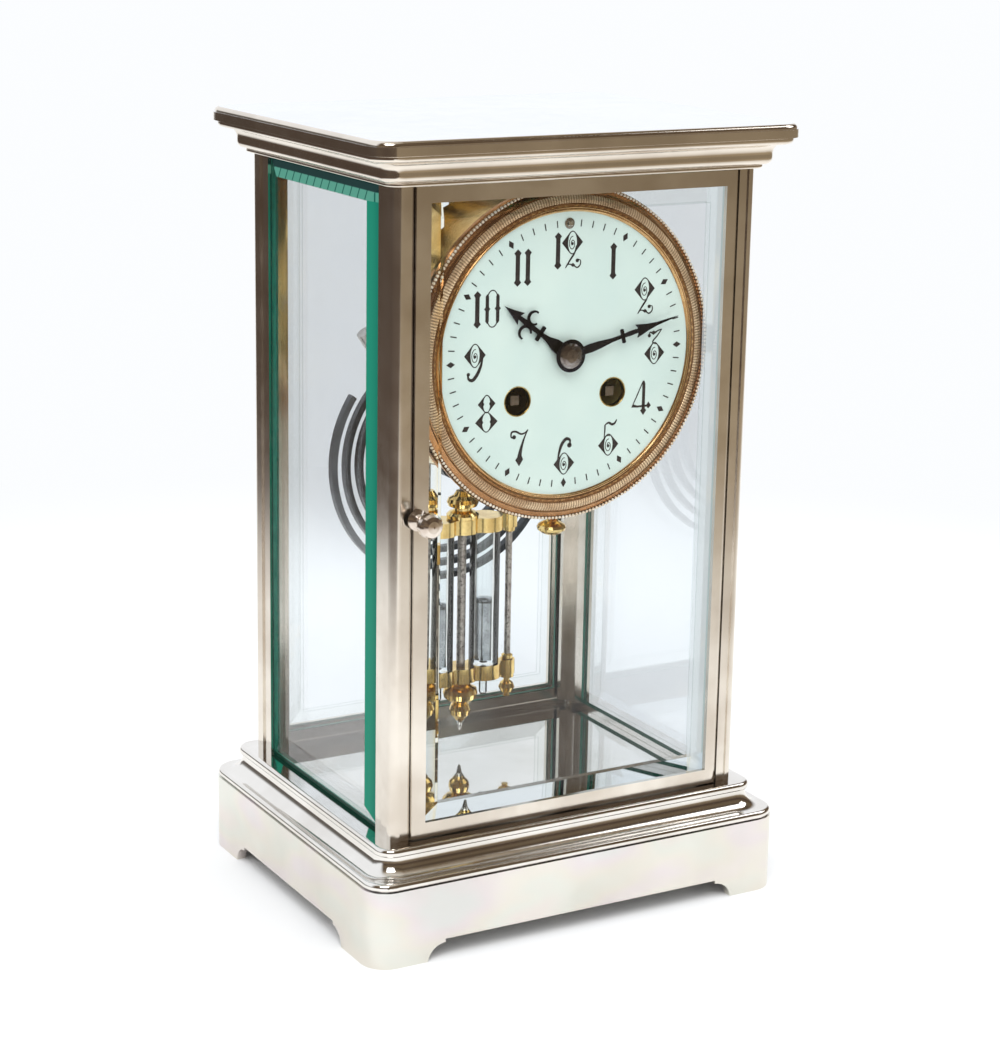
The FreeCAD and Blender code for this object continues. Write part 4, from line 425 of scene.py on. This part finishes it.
# Painted shade: the winding arbors get the darker steel because they sit deep in their holes.
dress(["going_winding_arbor", "strike_winding_arbor"], dark_steel_and_hole_shade)
dress(["ratchet_clicks"], blued)
dress(["movement_drum", "drum_knob", "pendulum_yokes"], brass_polished)
dress(["bezel"], gilt, gilt_lip, choose=near_axis(49.2))
dress(["dial"], enamel)
dress(["front_plate", "back_plate", "movement_pillars", "suspension_bracket"], brass_grained)
dress(["going_mainspring", "strike_mainspring"], blued)
dress(["gong_coil", "gong_stand"], iron)
dress(["pendulum_jars"], jar_glass)
dress(["pendulum_mercury"], mercury)
dress(["pendulum_rod"], steel_mottled)
SIDE_ROD_LOW = 71.6 * MM
SIDE_ROD_HIGH = 114.9 * MM
RATING_POINT_TOP = 47.5 * MM
dress(["pendulum_side_rods"], steel_mottled, brass_polished,
      choose=lambda face: int(not SIDE_ROD_LOW < face.center.z < SIDE_ROD_HIGH))
dress(["rating_nut"], brass_polished, steel_bright,
      choose=lambda face: int(face.center.z < RATING_POINT_TOP))
dress(["hand_collet"], blued, dark_steel_and_hole_shade, choose=near_axis(4.2))
dress(["hour_hand", "minute_hand"], blued)


def steel_core(name, radius):
    """A brass wheel on a steel arbor: faces near the part's own axis are steel."""
    low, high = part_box(name)
    middle = (low + high) / (2 * MM)
    dress([name], brass_wheel, steel, choose=near_axis(radius, middle.x, middle.z))


for wheel_name, core in (("going_barrel", 0.0), ("strike_barrel", 0.0), ("centre_wheel", 1.7),
                         ("going_intermediate_wheel", 2.3), ("going_third_wheel", 1.9),
                         ("escape_wheel", 1.2), ("strike_second_wheel", 2.4),
                         ("strike_pin_wheel", 2.0), ("strike_warning_wheel", 1.4),
                         ("strike_fly", 1.4), ("minute_wheel", 2.2), ("hour_wheel", 0.0)):
    steel_core(wheel_name, core)

# ---------------------------------------------------------------- new pieces

class Solids:
    """Collects closed flat shapes and other faces for one mesh piece, in millimetres."""

    def __init__(self):
        self.vertices = []
        self.faces = []

    def prism(self, outline, front, back):
        """A flat shape in the dial's plane, given by its outline, between two depths."""
        area = sum(x0 * z1 - x1 * z0 for (x0, z0), (x1, z1) in zip(outline, outline[1:] + outline[:1]))
        if area < 0:
            outline = outline[::-1]
        start = len(self.vertices)
        count = len(outline)
        self.vertices += [(x, front, z) for x, z in outline] + [(x, back, z) for x, z in outline]
        self.faces.append([start + index for index in range(count)])
        self.faces.append([start + count + index for index in reversed(range(count))])
        for index in range(count):
            following = (index + 1) % count
            self.faces.append([start + index, start + count + index, start + count + following,
                               start + following])

    def ribbon(self, points, widths, front, back):
        """A flat stroke along a line of points; widths is one number or one per point."""
        count = len(points)
        if isinstance(widths, (int, float)):
            widths = [widths] * count
        start = len(self.vertices)
        for index, (x, z) in enumerate(points):
            ahead = points[min(index + 1, count - 1)]
            behind = points[max(index - 1, 0)]
            along = Vector((ahead[0] - behind[0], ahead[1] - behind[1])).normalized()
            half = widths[index] / 2
            left = (x - along.y * half, z + along.x * half)
            right = (x + along.y * half, z - along.x * half)
            self.vertices += [(left[0], front, left[1]), (right[0], front, right[1]),
                              (right[0], back, right[1]), (left[0], back, left[1])]
        for index in range(count - 1):
            here = start + 4 * index
            for side in range(4):
                other = (side + 1) % 4
                self.faces.append([here + side, here + side + 4, here + other + 4, here + other])
        self.faces.append([start + 3, start + 2, start + 1, start])
        last = start + 4 * (count - 1)
        self.faces.append([last, last + 1, last + 2, last + 3])

    def ring(self, profile, around, x=0.0, z=DIAL_Z):
        """A closed profile of (radius, depth) points, turned about a line along y."""
        start = len(self.vertices)
        lanes = len(profile)
        for index in range(around):
            turn = 2 * math.pi * index / around
            for radius, depth in profile:
                self.vertices.append((x + radius * math.cos(turn), depth, z + radius * math.sin(turn)))
        for index in range(around):
            here = start + index * lanes
            there = start + (index + 1) % around * lanes
            for lane in range(lanes):
                beside = (lane + 1) % lanes
                self.faces.append([here + lane, here + beside, there + beside, there + lane])

    def piece(self, name, material, body, slot, smooth=False):
        mesh = bpy.data.meshes.new(name)
        mesh.from_pydata([tuple(MM * part for part in vertex) for vertex in self.vertices], [],
                         self.faces)
        mesh.materials.append(material)
        shape = bmesh.new()
        shape.from_mesh(mesh)
        bmesh.ops.recalc_face_normals(shape, faces=shape.faces)
        shape.to_mesh(mesh)
        shape.free()
        if smooth:
            mesh.shade_smooth()
        item = bpy.data.objects.new(name, mesh)
        bpy.context.scene.collection.objects.link(item)
        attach(item, body)
        return item


def arc(centre, radius_x, radius_z, begin, end, steps=24):
    """Points along an ellipse, from one angle to another in degrees, 0 at the right."""
    points = []
    for index in range(steps + 1):
        turn = math.radians(begin + (end - begin) * index / steps)
        points.append((centre[0] + radius_x * math.cos(turn), centre[1] + radius_z * math.sin(turn)))
    return points


def curve(points, steps=8):
    """A smooth line through the given points."""
    padded = [points[0]] + list(points) + [points[-1]]
    result = []
    for index in range(1, len(padded) - 2):
        p0, p1, p2, p3 = (Vector(point) for point in padded[index - 1:index + 3])
        for part in range(steps):
            t = part / steps
            here = 0.5 * (2 * p1 + (p2 - p0) * t + (2 * p0 - 5 * p1 + 4 * p2 - p3) * t ** 2
                          + (3 * p1 - p0 - 3 * p2 + p3) * t ** 3)
            result.append(tuple(here))
    result.append(tuple(points[-1]))
    return result


def swell(count, thin, thick):
    """Stroke widths that start and end thin and are thick in the middle."""
    return [thin + (thick - thin) * math.sin(math.pi * index / (count - 1)) for index in range(count)]


# ------------------------------------------------ dial numerals

INK_FRONT = DIAL_FACE - 0.05
COUNTER_FRONT = DIAL_FACE - 0.065
LINE_FRONT = DIAL_FACE - 0.08
INK_BACK = DIAL_FACE + 0.03
HAIR = 0.36


class Lettering:
    """Draws numerals about a centre on the dial: ink shapes, enamel counters, ink lines."""

    def __init__(self):
        self.ink = Solids()
        self.counter = Solids()
        self.origin = (0.0, 0.0)

    def at(self, points):
        return [(x + self.origin[0], z + self.origin[1] + DIAL_Z) for x, z in points]

    def shape(self, outline):
        self.ink.prism(self.at(outline), INK_FRONT, INK_BACK)

    def line(self, points, width=HAIR):
        self.ink.ribbon(self.at(points), width, LINE_FRONT, INK_BACK)

    def dot(self, x, z, radius):
        self.ink.prism(self.at(arc((x, z), radius, radius, 0, 345, 23)), LINE_FRONT, INK_BACK)

    def bar(self, x):
        """An upright bar with a pointed head and foot."""
        half = ((0.80, 4.0), (1.35, 4.8), (0.0, 6.1), (-1.35, 4.8), (-0.80, 4.0))
        foot = [(px, -pz) for px, pz in reversed(half)]
        self.shape([(x + px, pz) for px, pz in list(half) + foot])

    def diamond(self, x, z, half_width, half_height):
        self.shape([(x + half_width, z), (x, z + half_height), (x - half_width, z), (x, z - half_height)])

    def eye(self, x, z, half_width, half_height, spiral=True, slim=0.46):
        """A black diamond with an open oval through it, and a curl inside the oval."""
        self.shape([(x + half_width, z), (x + 0.30 * half_width, z + 0.86 * half_height),
                    (x - 0.30 * half_width, z + 0.86 * half_height), (x - half_width, z),
                    (x - 0.30 * half_width, z - 0.86 * half_height),
                    (x + 0.30 * half_width, z - 0.86 * half_height)])
        oval_x = half_width * slim
        oval = arc((x, z), oval_x, half_height, 0, 350, 35)
        self.counter.prism(self.at(oval), COUNTER_FRONT, INK_BACK)
        self.line(arc((x, z), oval_x, half_height, 0, 360, 40), 0.36)
        if spiral:
            curl = []
            for index in range(31):
                turn = math.radians(80 + 540 * index / 30)
                reach = 1.0 - 0.8 * index / 30
                curl.append((x + 0.76 * oval_x * reach * math.cos(turn),
                             z - 0.35 + 0.66 * half_height * reach * math.sin(turn)))
            self.line(curl, 0.30)
            self.dot(x, z - 0.35, 0.50)
        else:
            for side in (-1, 1):
                self.dot(x + side * oval_x, z, 0.55)

    def one(self, x):
        self.bar(x)

    def two(self, x):
        self.eye(x, 2.5, 4.0, 3.7)
        self.line(curve([(x + 1.5, 1.5), (x + 0.9, -0.9), (x - 0.9, -3.4), (x - 2.5, -5.7)]),
                  swell(25, 0.26, 0.62))
        self.line(curve([(x - 2.5, -5.7), (x - 1.4, -4.6), (x + 0.4, -4.9), (x + 1.9, -5.8),
                         (x + 3.1, -5.0), (x + 3.2, -3.6), (x + 2.3, -3.1)]), swell(49, 0.24, 0.46))
        self.diamond(x + 0.35, -4.9, 0.85, 0.7)
        self.dot(x + 2.0, -3.5, 0.62)

    def three(self, x):
        self.eye(x, -2.3, 4.0, 3.6)
        self.line(curve([(x - 2.2, 3.7), (x - 1.9, 4.9), (x - 0.4, 4.6), (x + 1.2, 5.3), (x + 2.7, 5.7)]),
                  swell(33, 0.28, 0.52))
        self.line(curve([(x + 2.7, 5.7), (x + 1.0, 3.6), (x - 0.8, 1.6), (x + 0.9, 0.7)]),
                  swell(25, 0.26, 0.5))
        self.diamond(x - 0.5, 4.7, 1.3, 0.75)
        self.dot(x - 2.2, 3.8, 0.6)

    def four(self, x):
        self.shape([(x + 0.3, 2.0), (x + 0.3, 4.9), (x + 0.9, 6.0), (x + 1.5, 4.9), (x + 1.5, -3.7),
                    (x + 2.1, -4.4), (x + 0.9, -6.0), (x - 0.3, -4.4), (x + 0.3, -3.7)])
        self.line([(x + 0.6, 5.8), (x - 1.4, 1.6), (x - 3.5, -2.6)], [0.3, 0.42, 0.3])
        self.shape([(x - 3.9, -3.0), (x - 3.3, -1.9), (x - 1.6, -2.5), (x + 2.2, -2.5), (x + 2.9, -1.5),
                    (x + 3.9, -2.9), (x + 2.9, -3.9), (x + 2.2, -3.2), (x - 1.6, -3.2)])

    def five(self, x):
        self.eye(x, -2.3, 4.0, 3.6)
        self.line([(x - 1.5, 4.6), (x - 1.5, 2.6), (x - 1.7, 0.3)], [0.6, 0.5, 0.3])
        self.line(curve([(x - 1.5, 4.6), (x - 0.1, 5.3), (x + 1.2, 4.6), (x + 2.3, 4.9), (x + 3.1, 6.1)]),
                  swell(33, 0.3, 0.8))
        self.line(arc((x - 0.2, -0.6), 1.6, 1.5, 160, 60, 12), 0.4)

    def six(self, x):
        self.eye(x, -2.4, 4.0, 3.6)
        self.line(curve([(x + 2.2, 3.5), (x + 2.1, 5.4), (x + 0.6, 5.9), (x - 1.0, 4.2), (x - 1.9, 1.6),
                         (x - 2.5, -1.4)]), swell(41, 0.34, 1.15))
        self.dot(x + 2.0, 3.7, 0.85)

    def seven(self, x):
        self.line(curve([(x - 2.0, 3.5), (x - 3.2, 3.9), (x - 3.0, 5.5), (x - 1.4, 5.6), (x + 0.4, 4.7),
                         (x + 2.0, 4.9), (x + 3.1, 5.9)]), swell(49, 0.3, 0.66))
        self.dot(x - 2.1, 3.8, 0.7)
        self.line(curve([(x + 3.1, 5.9), (x + 1.7, 3.0), (x + 0.6, -0.4), (x, -3.4)]),
                  [0.32 + 1.4 * (index / 24) ** 1.5 for index in range(25)])
        self.shape([(x + 0.5, -1.8), (x + 1.5, -4.0), (x, -6.2), (x - 1.5, -4.0)])

    def eight(self, x):
        self.eye(x, 3.25, 3.3, 2.9, False, 0.44)
        self.eye(x, -2.75, 4.2, 3.3, False, 0.42)

    def nine(self, x):
        self.eye(x, 2.3, 4.0, 3.8)
        self.line(curve([(x + 2.9, 1.9), (x + 2.3, -0.9), (x + 1.1, -3.6), (x - 0.6, -5.6), (x - 2.1, -5.3),
                         (x - 2.7, -3.6)]), swell(41, 0.4, 1.2))
        self.dot(x - 2.35, -3.7, 0.6)

    def zero(self, x):
        for side in (-1, 1):
            px = x + side * 1.95
            self.shape([(px - 0.62, -4.1), (px - 0.62, -0.6), (px - 1.15, 0.0), (px - 0.62, 0.6),
                        (px - 0.62, 4.1), (px, 4.9), (px + 0.62, 4.1), (px + 0.62, 0.6),
                        (px + 1.15, 0.0), (px + 0.62, -0.6), (px + 0.62, -4.1), (px, -4.9)])
        self.line(arc((x, 3.7), 1.75, 2.3, 10, 170), 0.34)
        self.line(arc((x, -3.7), 1.75, 2.3, 190, 350), 0.34)


def dial_lettering():
    """The hours, on their ring, and the minute track."""
    writer = Lettering()
    draw = {
        1: lambda: writer.one(0.0), 2: lambda: writer.two(0.0), 3: lambda: writer.three(0.0),
        4: lambda: writer.four(0.0), 5: lambda: writer.five(0.0), 6: lambda: writer.six(0.0),
        7: lambda: writer.seven(0.0), 8: lambda: writer.eight(0.0), 9: lambda: writer.nine(0.0),
        10: lambda: (writer.one(-4.0), writer.zero(1.6)),
        11: lambda: (writer.one(-1.9), writer.one(1.9)),
        12: lambda: (writer.one(-4.1), writer.two(1.3)),
    }
    hour_ring = 34.5
    for hour, glyph in draw.items():
        turn = math.radians(30 * hour)
        writer.origin = (hour_ring * math.sin(turn), hour_ring * math.cos(turn))
        glyph()
    writer.origin = (0.0, 0.0)
    for minute in range(1, 60):
        turn = math.radians(6 * minute)
        out = (math.sin(turn), math.cos(turn))
        across = (out[1], -out[0])

        def polar(reach, aside):
            return (out[0] * reach + across[0] * aside, out[1] * reach + across[1] * aside)
        if minute % 5:
            writer.line([polar(42.3, 0.0), polar(44.6, 0.0)], 0.38)
        else:
            writer.shape([polar(41.8, 0.0), polar(43.4, 1.0), polar(45.0, 0.0), polar(43.4, -1.0)])
    writer.ink.piece("dial_numerals", ink, "case", "enamel")
    writer.counter.piece("dial_counters", enamel, "case", "enamel")


dial_lettering()


def regulator_square():
    """The squared end of the regulating arbor, just inside its hole at twelve."""
    middle = DIAL_Z + 43.4
    collar = Solids()
    collar.prism(arc((0.0, middle), 1.85, 1.85, 0, 345, 23), DIAL_FACE - 0.35, DIAL_FACE + 0.02)
    ring = collar.piece("regulator_collar", steel, "case", "steel", True)
    rounding = ring.modifiers.new("rounding", "BEVEL")
    rounding.width = 0.12 * MM
    rounding.segments = 2
    square = Solids()
    side = 0.82
    square.prism([(-side, middle - side), (side, middle - side), (side, middle + side),
                  (-side, middle + side)], DIAL_FACE - 1.0, DIAL_FACE - 0.3)
    stub = square.piece("regulator_square", steel_bright, "case", "steel")
    chamfer = stub.modifiers.new("chamfer", "BEVEL")
    chamfer.width = 0.14 * MM
    chamfer.segments = 2


regulator_square()

# ------------------------------------------------ eyelets of the winding holes


def winding_eyelets():
    """A thin brass ring set in each winding hole of the dial."""
    hole_x = 18.3
    hole_drop = 14.2
    profile = ((4.72, -43.9), (4.72, -46.02), (4.86, -46.16), (5.02, -46.14), (5.10, -46.02),
               (4.79, -45.9), (4.79, -43.9))
    eyelets = Solids()
    for side in (-1, 1):
        eyelets.ring(profile, 48, side * hole_x, DIAL_Z - hole_drop)
    eyelets.piece("winding_eyelets", brass_polished, "case", "brass", True)


winding_eyelets()

# ------------------------------------------------ bezel pearls and milling


def bezel_pearls(name, count, ring, depth, radius, material):
    ball = bmesh.new()
    bmesh.ops.create_icosphere(ball, subdivisions=2, radius=radius)
    template = [vertex.co.copy() for vertex in ball.verts]
    triangles = [[vertex.index for vertex in face.verts] for face in ball.faces]
    ball.free()
    pearls = Solids()
    for index in range(count):
        turn = 2 * math.pi * index / count
        centre = Vector((ring * math.cos(turn), depth, DIAL_Z + ring * math.sin(turn)))
        start = len(pearls.vertices)
        pearls.vertices += [tuple(centre + co) for co in template]
        pearls.faces += [[start + corner for corner in triangle] for triangle in triangles]
    pearls.piece(name, material, "case", "gilt_bezel", True)


def bezel_milling(name, count, stations, material):
    """A closed ring of fine ridges; each station is (radius, depth of valley, of ridge)."""
    band = Solids()
    across = len(stations)
    steps = 2 * count
    for index in range(steps):
        turn = math.pi * index / count
        for radius, valley, ridge in stations:
            depth = ridge if index % 2 else valley
            band.vertices.append((radius * math.cos(turn), depth, DIAL_Z + radius * math.sin(turn)))
    for index in range(steps):
        following = (index + 1) % steps
        for lane in range(across - 1):
            band.faces.append([index * across + lane, index * across + lane + 1,
                               following * across + lane + 1, following * across + lane])
    band.piece(name, material, "case", "gilt_bezel")


PEARLS = 262
bezel_pearls("bezel_pearls", PEARLS, 55.5, -45.2, 0.52, gilt_pearl)
milled_band = ((50.0, -46.8, -46.8), (50.3, -46.95, -47.15), (51.3, -46.90, -47.10), (52.6, -46.28, -46.48),
               (53.0, -45.8, -45.8))
bezel_milling("bezel_milling", RIBS, milled_band, gilt_ribbed)


def bezel_ring(name, radius, depth, thickness, material):
    """A plain round ring; thickness is the radius of its section."""
    ring = Solids()
    ring.ring(arc((radius, depth), thickness, thickness, 0, 324, 9), 180)
    ring.piece(name, material, "case", "gilt_bezel", True)


bezel_ring("bezel_inner_bead", 47.95, -46.72, 0.42, gilt_lip)
# Dark rings of painted shade: in the grooves of the bezel, and under the pearls where the gaps between them
# show.
bezel_ring("bezel_lip_groove_shade", 48.75, -46.78, 0.20, gilt_painted_shade)
bezel_ring("bezel_inner_groove_shade", 49.75, -46.72, 0.26, gilt_painted_shade)
bezel_ring("bezel_outer_groove_shade", 53.15, -45.86, 0.24, gilt_painted_shade)
bezel_ring("bezel_pearl_gap_shade", 55.35, -44.80, 0.50, gilt_painted_shade)

# ------------------------------------------------ hands


def hand(name, node, body, shapes, angle, front, back):
    """A pierced hand, made from outlines drawn pointing at twelve and turned clockwise."""
    turn = math.radians(angle)
    flat = Solids()
    for outline in shapes:
        placed = [(x * math.cos(turn) + z * math.sin(turn),
                   DIAL_Z - x * math.sin(turn) + z * math.cos(turn)) for x, z in outline]
        flat.prism(placed, front, back)
    item = flat.piece(name, blued, body, "blued_steel")
    edge = item.modifiers.new("edge", "BEVEL")
    edge.width = 0.11 * MM
    edge.segments = 2
    edge.limit_method = "ANGLE"
    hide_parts(node)


def both_sides(half):
    """A closed outline from its right-hand half, listed from the boss to the tip."""
    return list(half) + [(-x, z) for x, z in reversed(half) if x > 1e-6]


def crescent(centre, outer, opening):
    """A horseshoe that opens towards an angle and is thickest at its back."""
    heading = math.radians(opening)
    shifted = (centre[0] + 0.22 * math.cos(heading), centre[1] + 0.22 * math.sin(heading))
    far = arc(centre, outer, outer, opening + 55, opening + 305, 22)
    near = arc(shifted, outer - 0.75, outer - 0.75, opening + 55, opening + 305, 22)
    return far + near[::-1]


def crossbar(half_width, low, height=1.4):
    """A bar across the blade with pointed ends."""
    return [(-half_width, low), (half_width, low), (half_width + 0.2, low + height / 2),
            (half_width, low + height), (-half_width, low + height), (-half_width - 0.2, low + height / 2)]


HOUR_ANGLE = 306.4
MINUTE_ANGLE = 76.3
hour_blade = both_sides([(0, -3.0), (1.6, -2.6), (2.0, 0), (2.3, 4.0), (2.1, 6.4),
                         (1.1, 9.6), (0.75, 12.2), (0.85, 16.0), (1.0, 19.6), (0.7, 23.4), (2.3, 22.6),
                         (1.15, 26.0), (0.35, 28.8), (0, 30.4)])
hour_shapes = [hour_blade, crossbar(2.6, 12.7), crescent((2.85, 18.6), 2.55, -62.0),
               crescent((-2.85, 18.6), 2.55, 242.0)]
hand("hour_hand_pierced", "hour_hand", "hour_wheel", hour_shapes, HOUR_ANGLE, -47.5, -46.9)
minute_blade = both_sides([(0, -2.6), (1.3, -2.2), (1.6, 0), (1.25, 4.4),
                           (1.5, 8.0), (1.3, 11.5), (0.70, 16.6), (0.62, 20.4), (0.8, 24.0), (0.7, 27.2),
                           (2.3, 26.3), (1.15, 31.0), (0.55, 35.0), (0.25, 40.6), (0, 43.4)])
minute_shapes = [minute_blade, crossbar(2.3, 20.3, 1.3)]
hand("minute_hand_pierced", "minute_hand", "minute_arbor", minute_shapes, MINUTE_ANGLE, -48.7, -48.1)

# ------------------------------------------------ screws on the back plate


def screw_heads():
    """Domed slotted screws over the pillar ends on the back of the movement."""
    heads = Solids()
    slot_shade = Solids()
    for index, angle in enumerate((0, 60, 120, 180, 270)):
        x = 40.0 * math.cos(math.radians(angle))
        z = DIAL_Z + 40.0 * math.sin(math.radians(angle))
        rings = ((2.6, 0.02), (2.6, 0.7), (2.2, 1.15), (1.2, 1.4))
        start = len(heads.vertices)
        for radius, depth in rings:
            heads.vertices += [(px, depth, pz) for px, pz in arc((x, z), radius, radius, 0, 345, 23)]
        for lane in range(len(rings) - 1):
            for step in range(24):
                other = (step + 1) % 24
                low = start + 24 * lane
                heads.faces.append([low + step, low + other, low + other + 24, low + step + 24])
        heads.faces.append([start + 72 + step for step in range(24)])
        heads.faces.append([start + step for step in range(24)][::-1])
        # Each slot is a near-black strip of blued steel: painted shade where the slot is cut.
        tilt = math.radians(37 * index + 12)
        along = (math.cos(tilt), math.sin(tilt))
        ends = [(x + side * 2.3 * along[0], z + side * 2.3 * along[1]) for side in (-1, 1)]
        slot_shade.ribbon(ends, 0.5, 1.0, 1.43)
    heads.piece("back_plate_screws", steel_bright, "case", "steel", True)
    slot_shade.piece("back_plate_screw_slot_shade", blued, "case", "steel")


screw_heads()

# ---------------------------------------------------------------- floor, light and camera


BACKDROP = (0.97, 0.985, 1.0)


def studio():
    material, g = new_material("studio_floor")
    here = g.add("ShaderNodeTexCoord").outputs["Object"]
    parts = g.split(here)
    cloud = g.noise(g.place(), 300.0, 2.0, 0.5)
    white = g.mix(g.step(cloud, 0.3, 0.7), (0.925, 0.93, 0.935), (0.905, 0.912, 0.92))
    reach = g.vector("LENGTH", here, output=1)
    ahead = g.math("MULTIPLY_ADD", parts[0], 0.75, g.math("MULTIPLY", parts[1], -1.0))
    ahead = g.step(ahead, 0.14, 0.95)
    mirrored = g.mix(ahead, (0.92, 0.90, 0.87), (0.30, 0.235, 0.155))
    leftwards = g.step(g.math("MULTIPLY", parts[0], -1.0), 0.15, 0.34)
    shade = g.math("MULTIPLY", leftwards, g.step(reach, 0.36, 0.60))
    mirrored = g.mix(shade, mirrored, (0.085, 0.06, 0.045))
    tone = g.mix(g.light_path("Is Glossy Ray"), white, mirrored)
    lit = g.add("ShaderNodeBsdfDiffuse", {0: tone}).outputs[0]
    backdrop = g.add("ShaderNodeEmission", {0: BACKDROP, 1: 1.0}).outputs[0]
    seen = g.math("MAXIMUM", g.light_path("Is Camera Ray"), g.light_path("Is Transmission Ray"))
    away = g.math("MULTIPLY", g.step(reach, 0.32, 0.62), seen)
    finish_material(g, g.blend(away, lit, backdrop))
    mesh = bpy.data.meshes.new("studio_floor")
    half = 3.0
    mesh.from_pydata([(-half, -half, 0), (half, -half, 0), (half, half, 0), (-half, half, 0)], [],
                     [(0, 1, 2, 3)])
    mesh.materials.append(material)
    floor = bpy.data.objects.new("studio_floor", mesh)
    bpy.context.scene.collection.objects.link(floor)

    world = bpy.data.worlds.new("studio")
    world.use_nodes = True
    bpy.context.scene.world = world
    g = Graph(world.node_tree)
    heading = g.vector("NORMALIZE", g.add("ShaderNodeTexCoord").outputs["Generated"])
    x, y, z = g.split(heading)
    wobble = g.add("ShaderNodeTexNoise", {"Vector": heading, "Scale": 2.4, "Detail": 2.0}).outputs[0]
    height = g.math("ADD", z, g.math("MULTIPLY", g.math("SUBTRACT", wobble, 0.5), 0.22))
    room = g.ramp(g.math("MULTIPLY_ADD", height, 0.5, 0.5),
                  ((0.0, (0.60, 0.53, 0.45)), (0.47, (0.30, 0.23, 0.155)), (0.56, (0.20, 0.145, 0.095)),
                   (0.64, (0.075, 0.050, 0.035)), (0.76, (0.17, 0.120, 0.070)), (0.85, (0.080, 0.055, 0.036)),
                   (0.93, (0.24, 0.175, 0.105)), (1.0, (0.75, 0.70, 0.62))))
    front = g.step(g.math("MULTIPLY_ADD", x, 0.35, g.math("MULTIPLY", y, -1.0)), -0.42, -0.12)
    leftwards = g.step(g.math("MULTIPLY", x, -1.0), 0.14, 0.36)
    low_left = g.math("MULTIPLY", leftwards, g.step(height, 0.26, 0.10))
    behind = g.mix(low_left, (1.05, 1.06, 1.08), (0.16, 0.145, 0.13))
    mirrored = g.mix(front, behind, room)
    tone = g.mix(g.light_path("Is Glossy Ray"), BACKDROP, mirrored)
    background = g.add("ShaderNodeBackground", {0: tone, 1: 1.0}).outputs[0]
    g.add("ShaderNodeOutputWorld", {"Surface": background})

    for name, place, aim, size, energy in (
            ("key", (-0.55, -0.75, 1.15), (0.0, 0.0, 0.12), 0.7, 9.0),
            ("fill", (0.9, -0.3, 0.9), (0.0, 0.0, 0.15), 0.6, 3.0)):
        data = bpy.data.lights.new(name, "AREA")
        data.size = size
        data.energy = energy
        lamp = bpy.data.objects.new(name, data)
        lamp.location = place
        lamp.rotation_euler = (Vector(aim) - Vector(place)).to_track_quat("-Z", "Y").to_euler()
        bpy.context.scene.collection.objects.link(lamp)


studio()


def camera():
    azimuth, elevation, roll = (math.radians(angle) for angle in (-29.12, 14.15, 0.82))
    backwards = Vector((math.sin(azimuth) * math.cos(elevation), -math.cos(azimuth) * math.cos(elevation),
                        math.sin(elevation)))
    right = (-backwards).cross(Vector((0, 0, 1))).normalized()
    up = backwards.cross(right)
    right, up = (math.cos(roll) * right + math.sin(roll) * up, -math.sin(roll) * right + math.cos(roll) * up)
    data = bpy.data.cameras.new("camera")
    data.lens = 87.12
    data.sensor_width = 36.0
    data.shift_x = 0.0314
    data.shift_y = -0.0196
    data.clip_start = 0.01
    item = bpy.data.objects.new("camera", data)
    item.matrix_world = Matrix.Translation((-0.42388, -0.74137, 0.35121)) @ Matrix(
        (right, up, backwards)).transposed().to_4x4()
    bpy.context.scene.collection.objects.link(item)
    bpy.context.scene.camera = item


camera()
scene = bpy.context.scene
scene.view_settings.view_transform = "Standard"
scene.cycles.transparent_max_bounces = 32
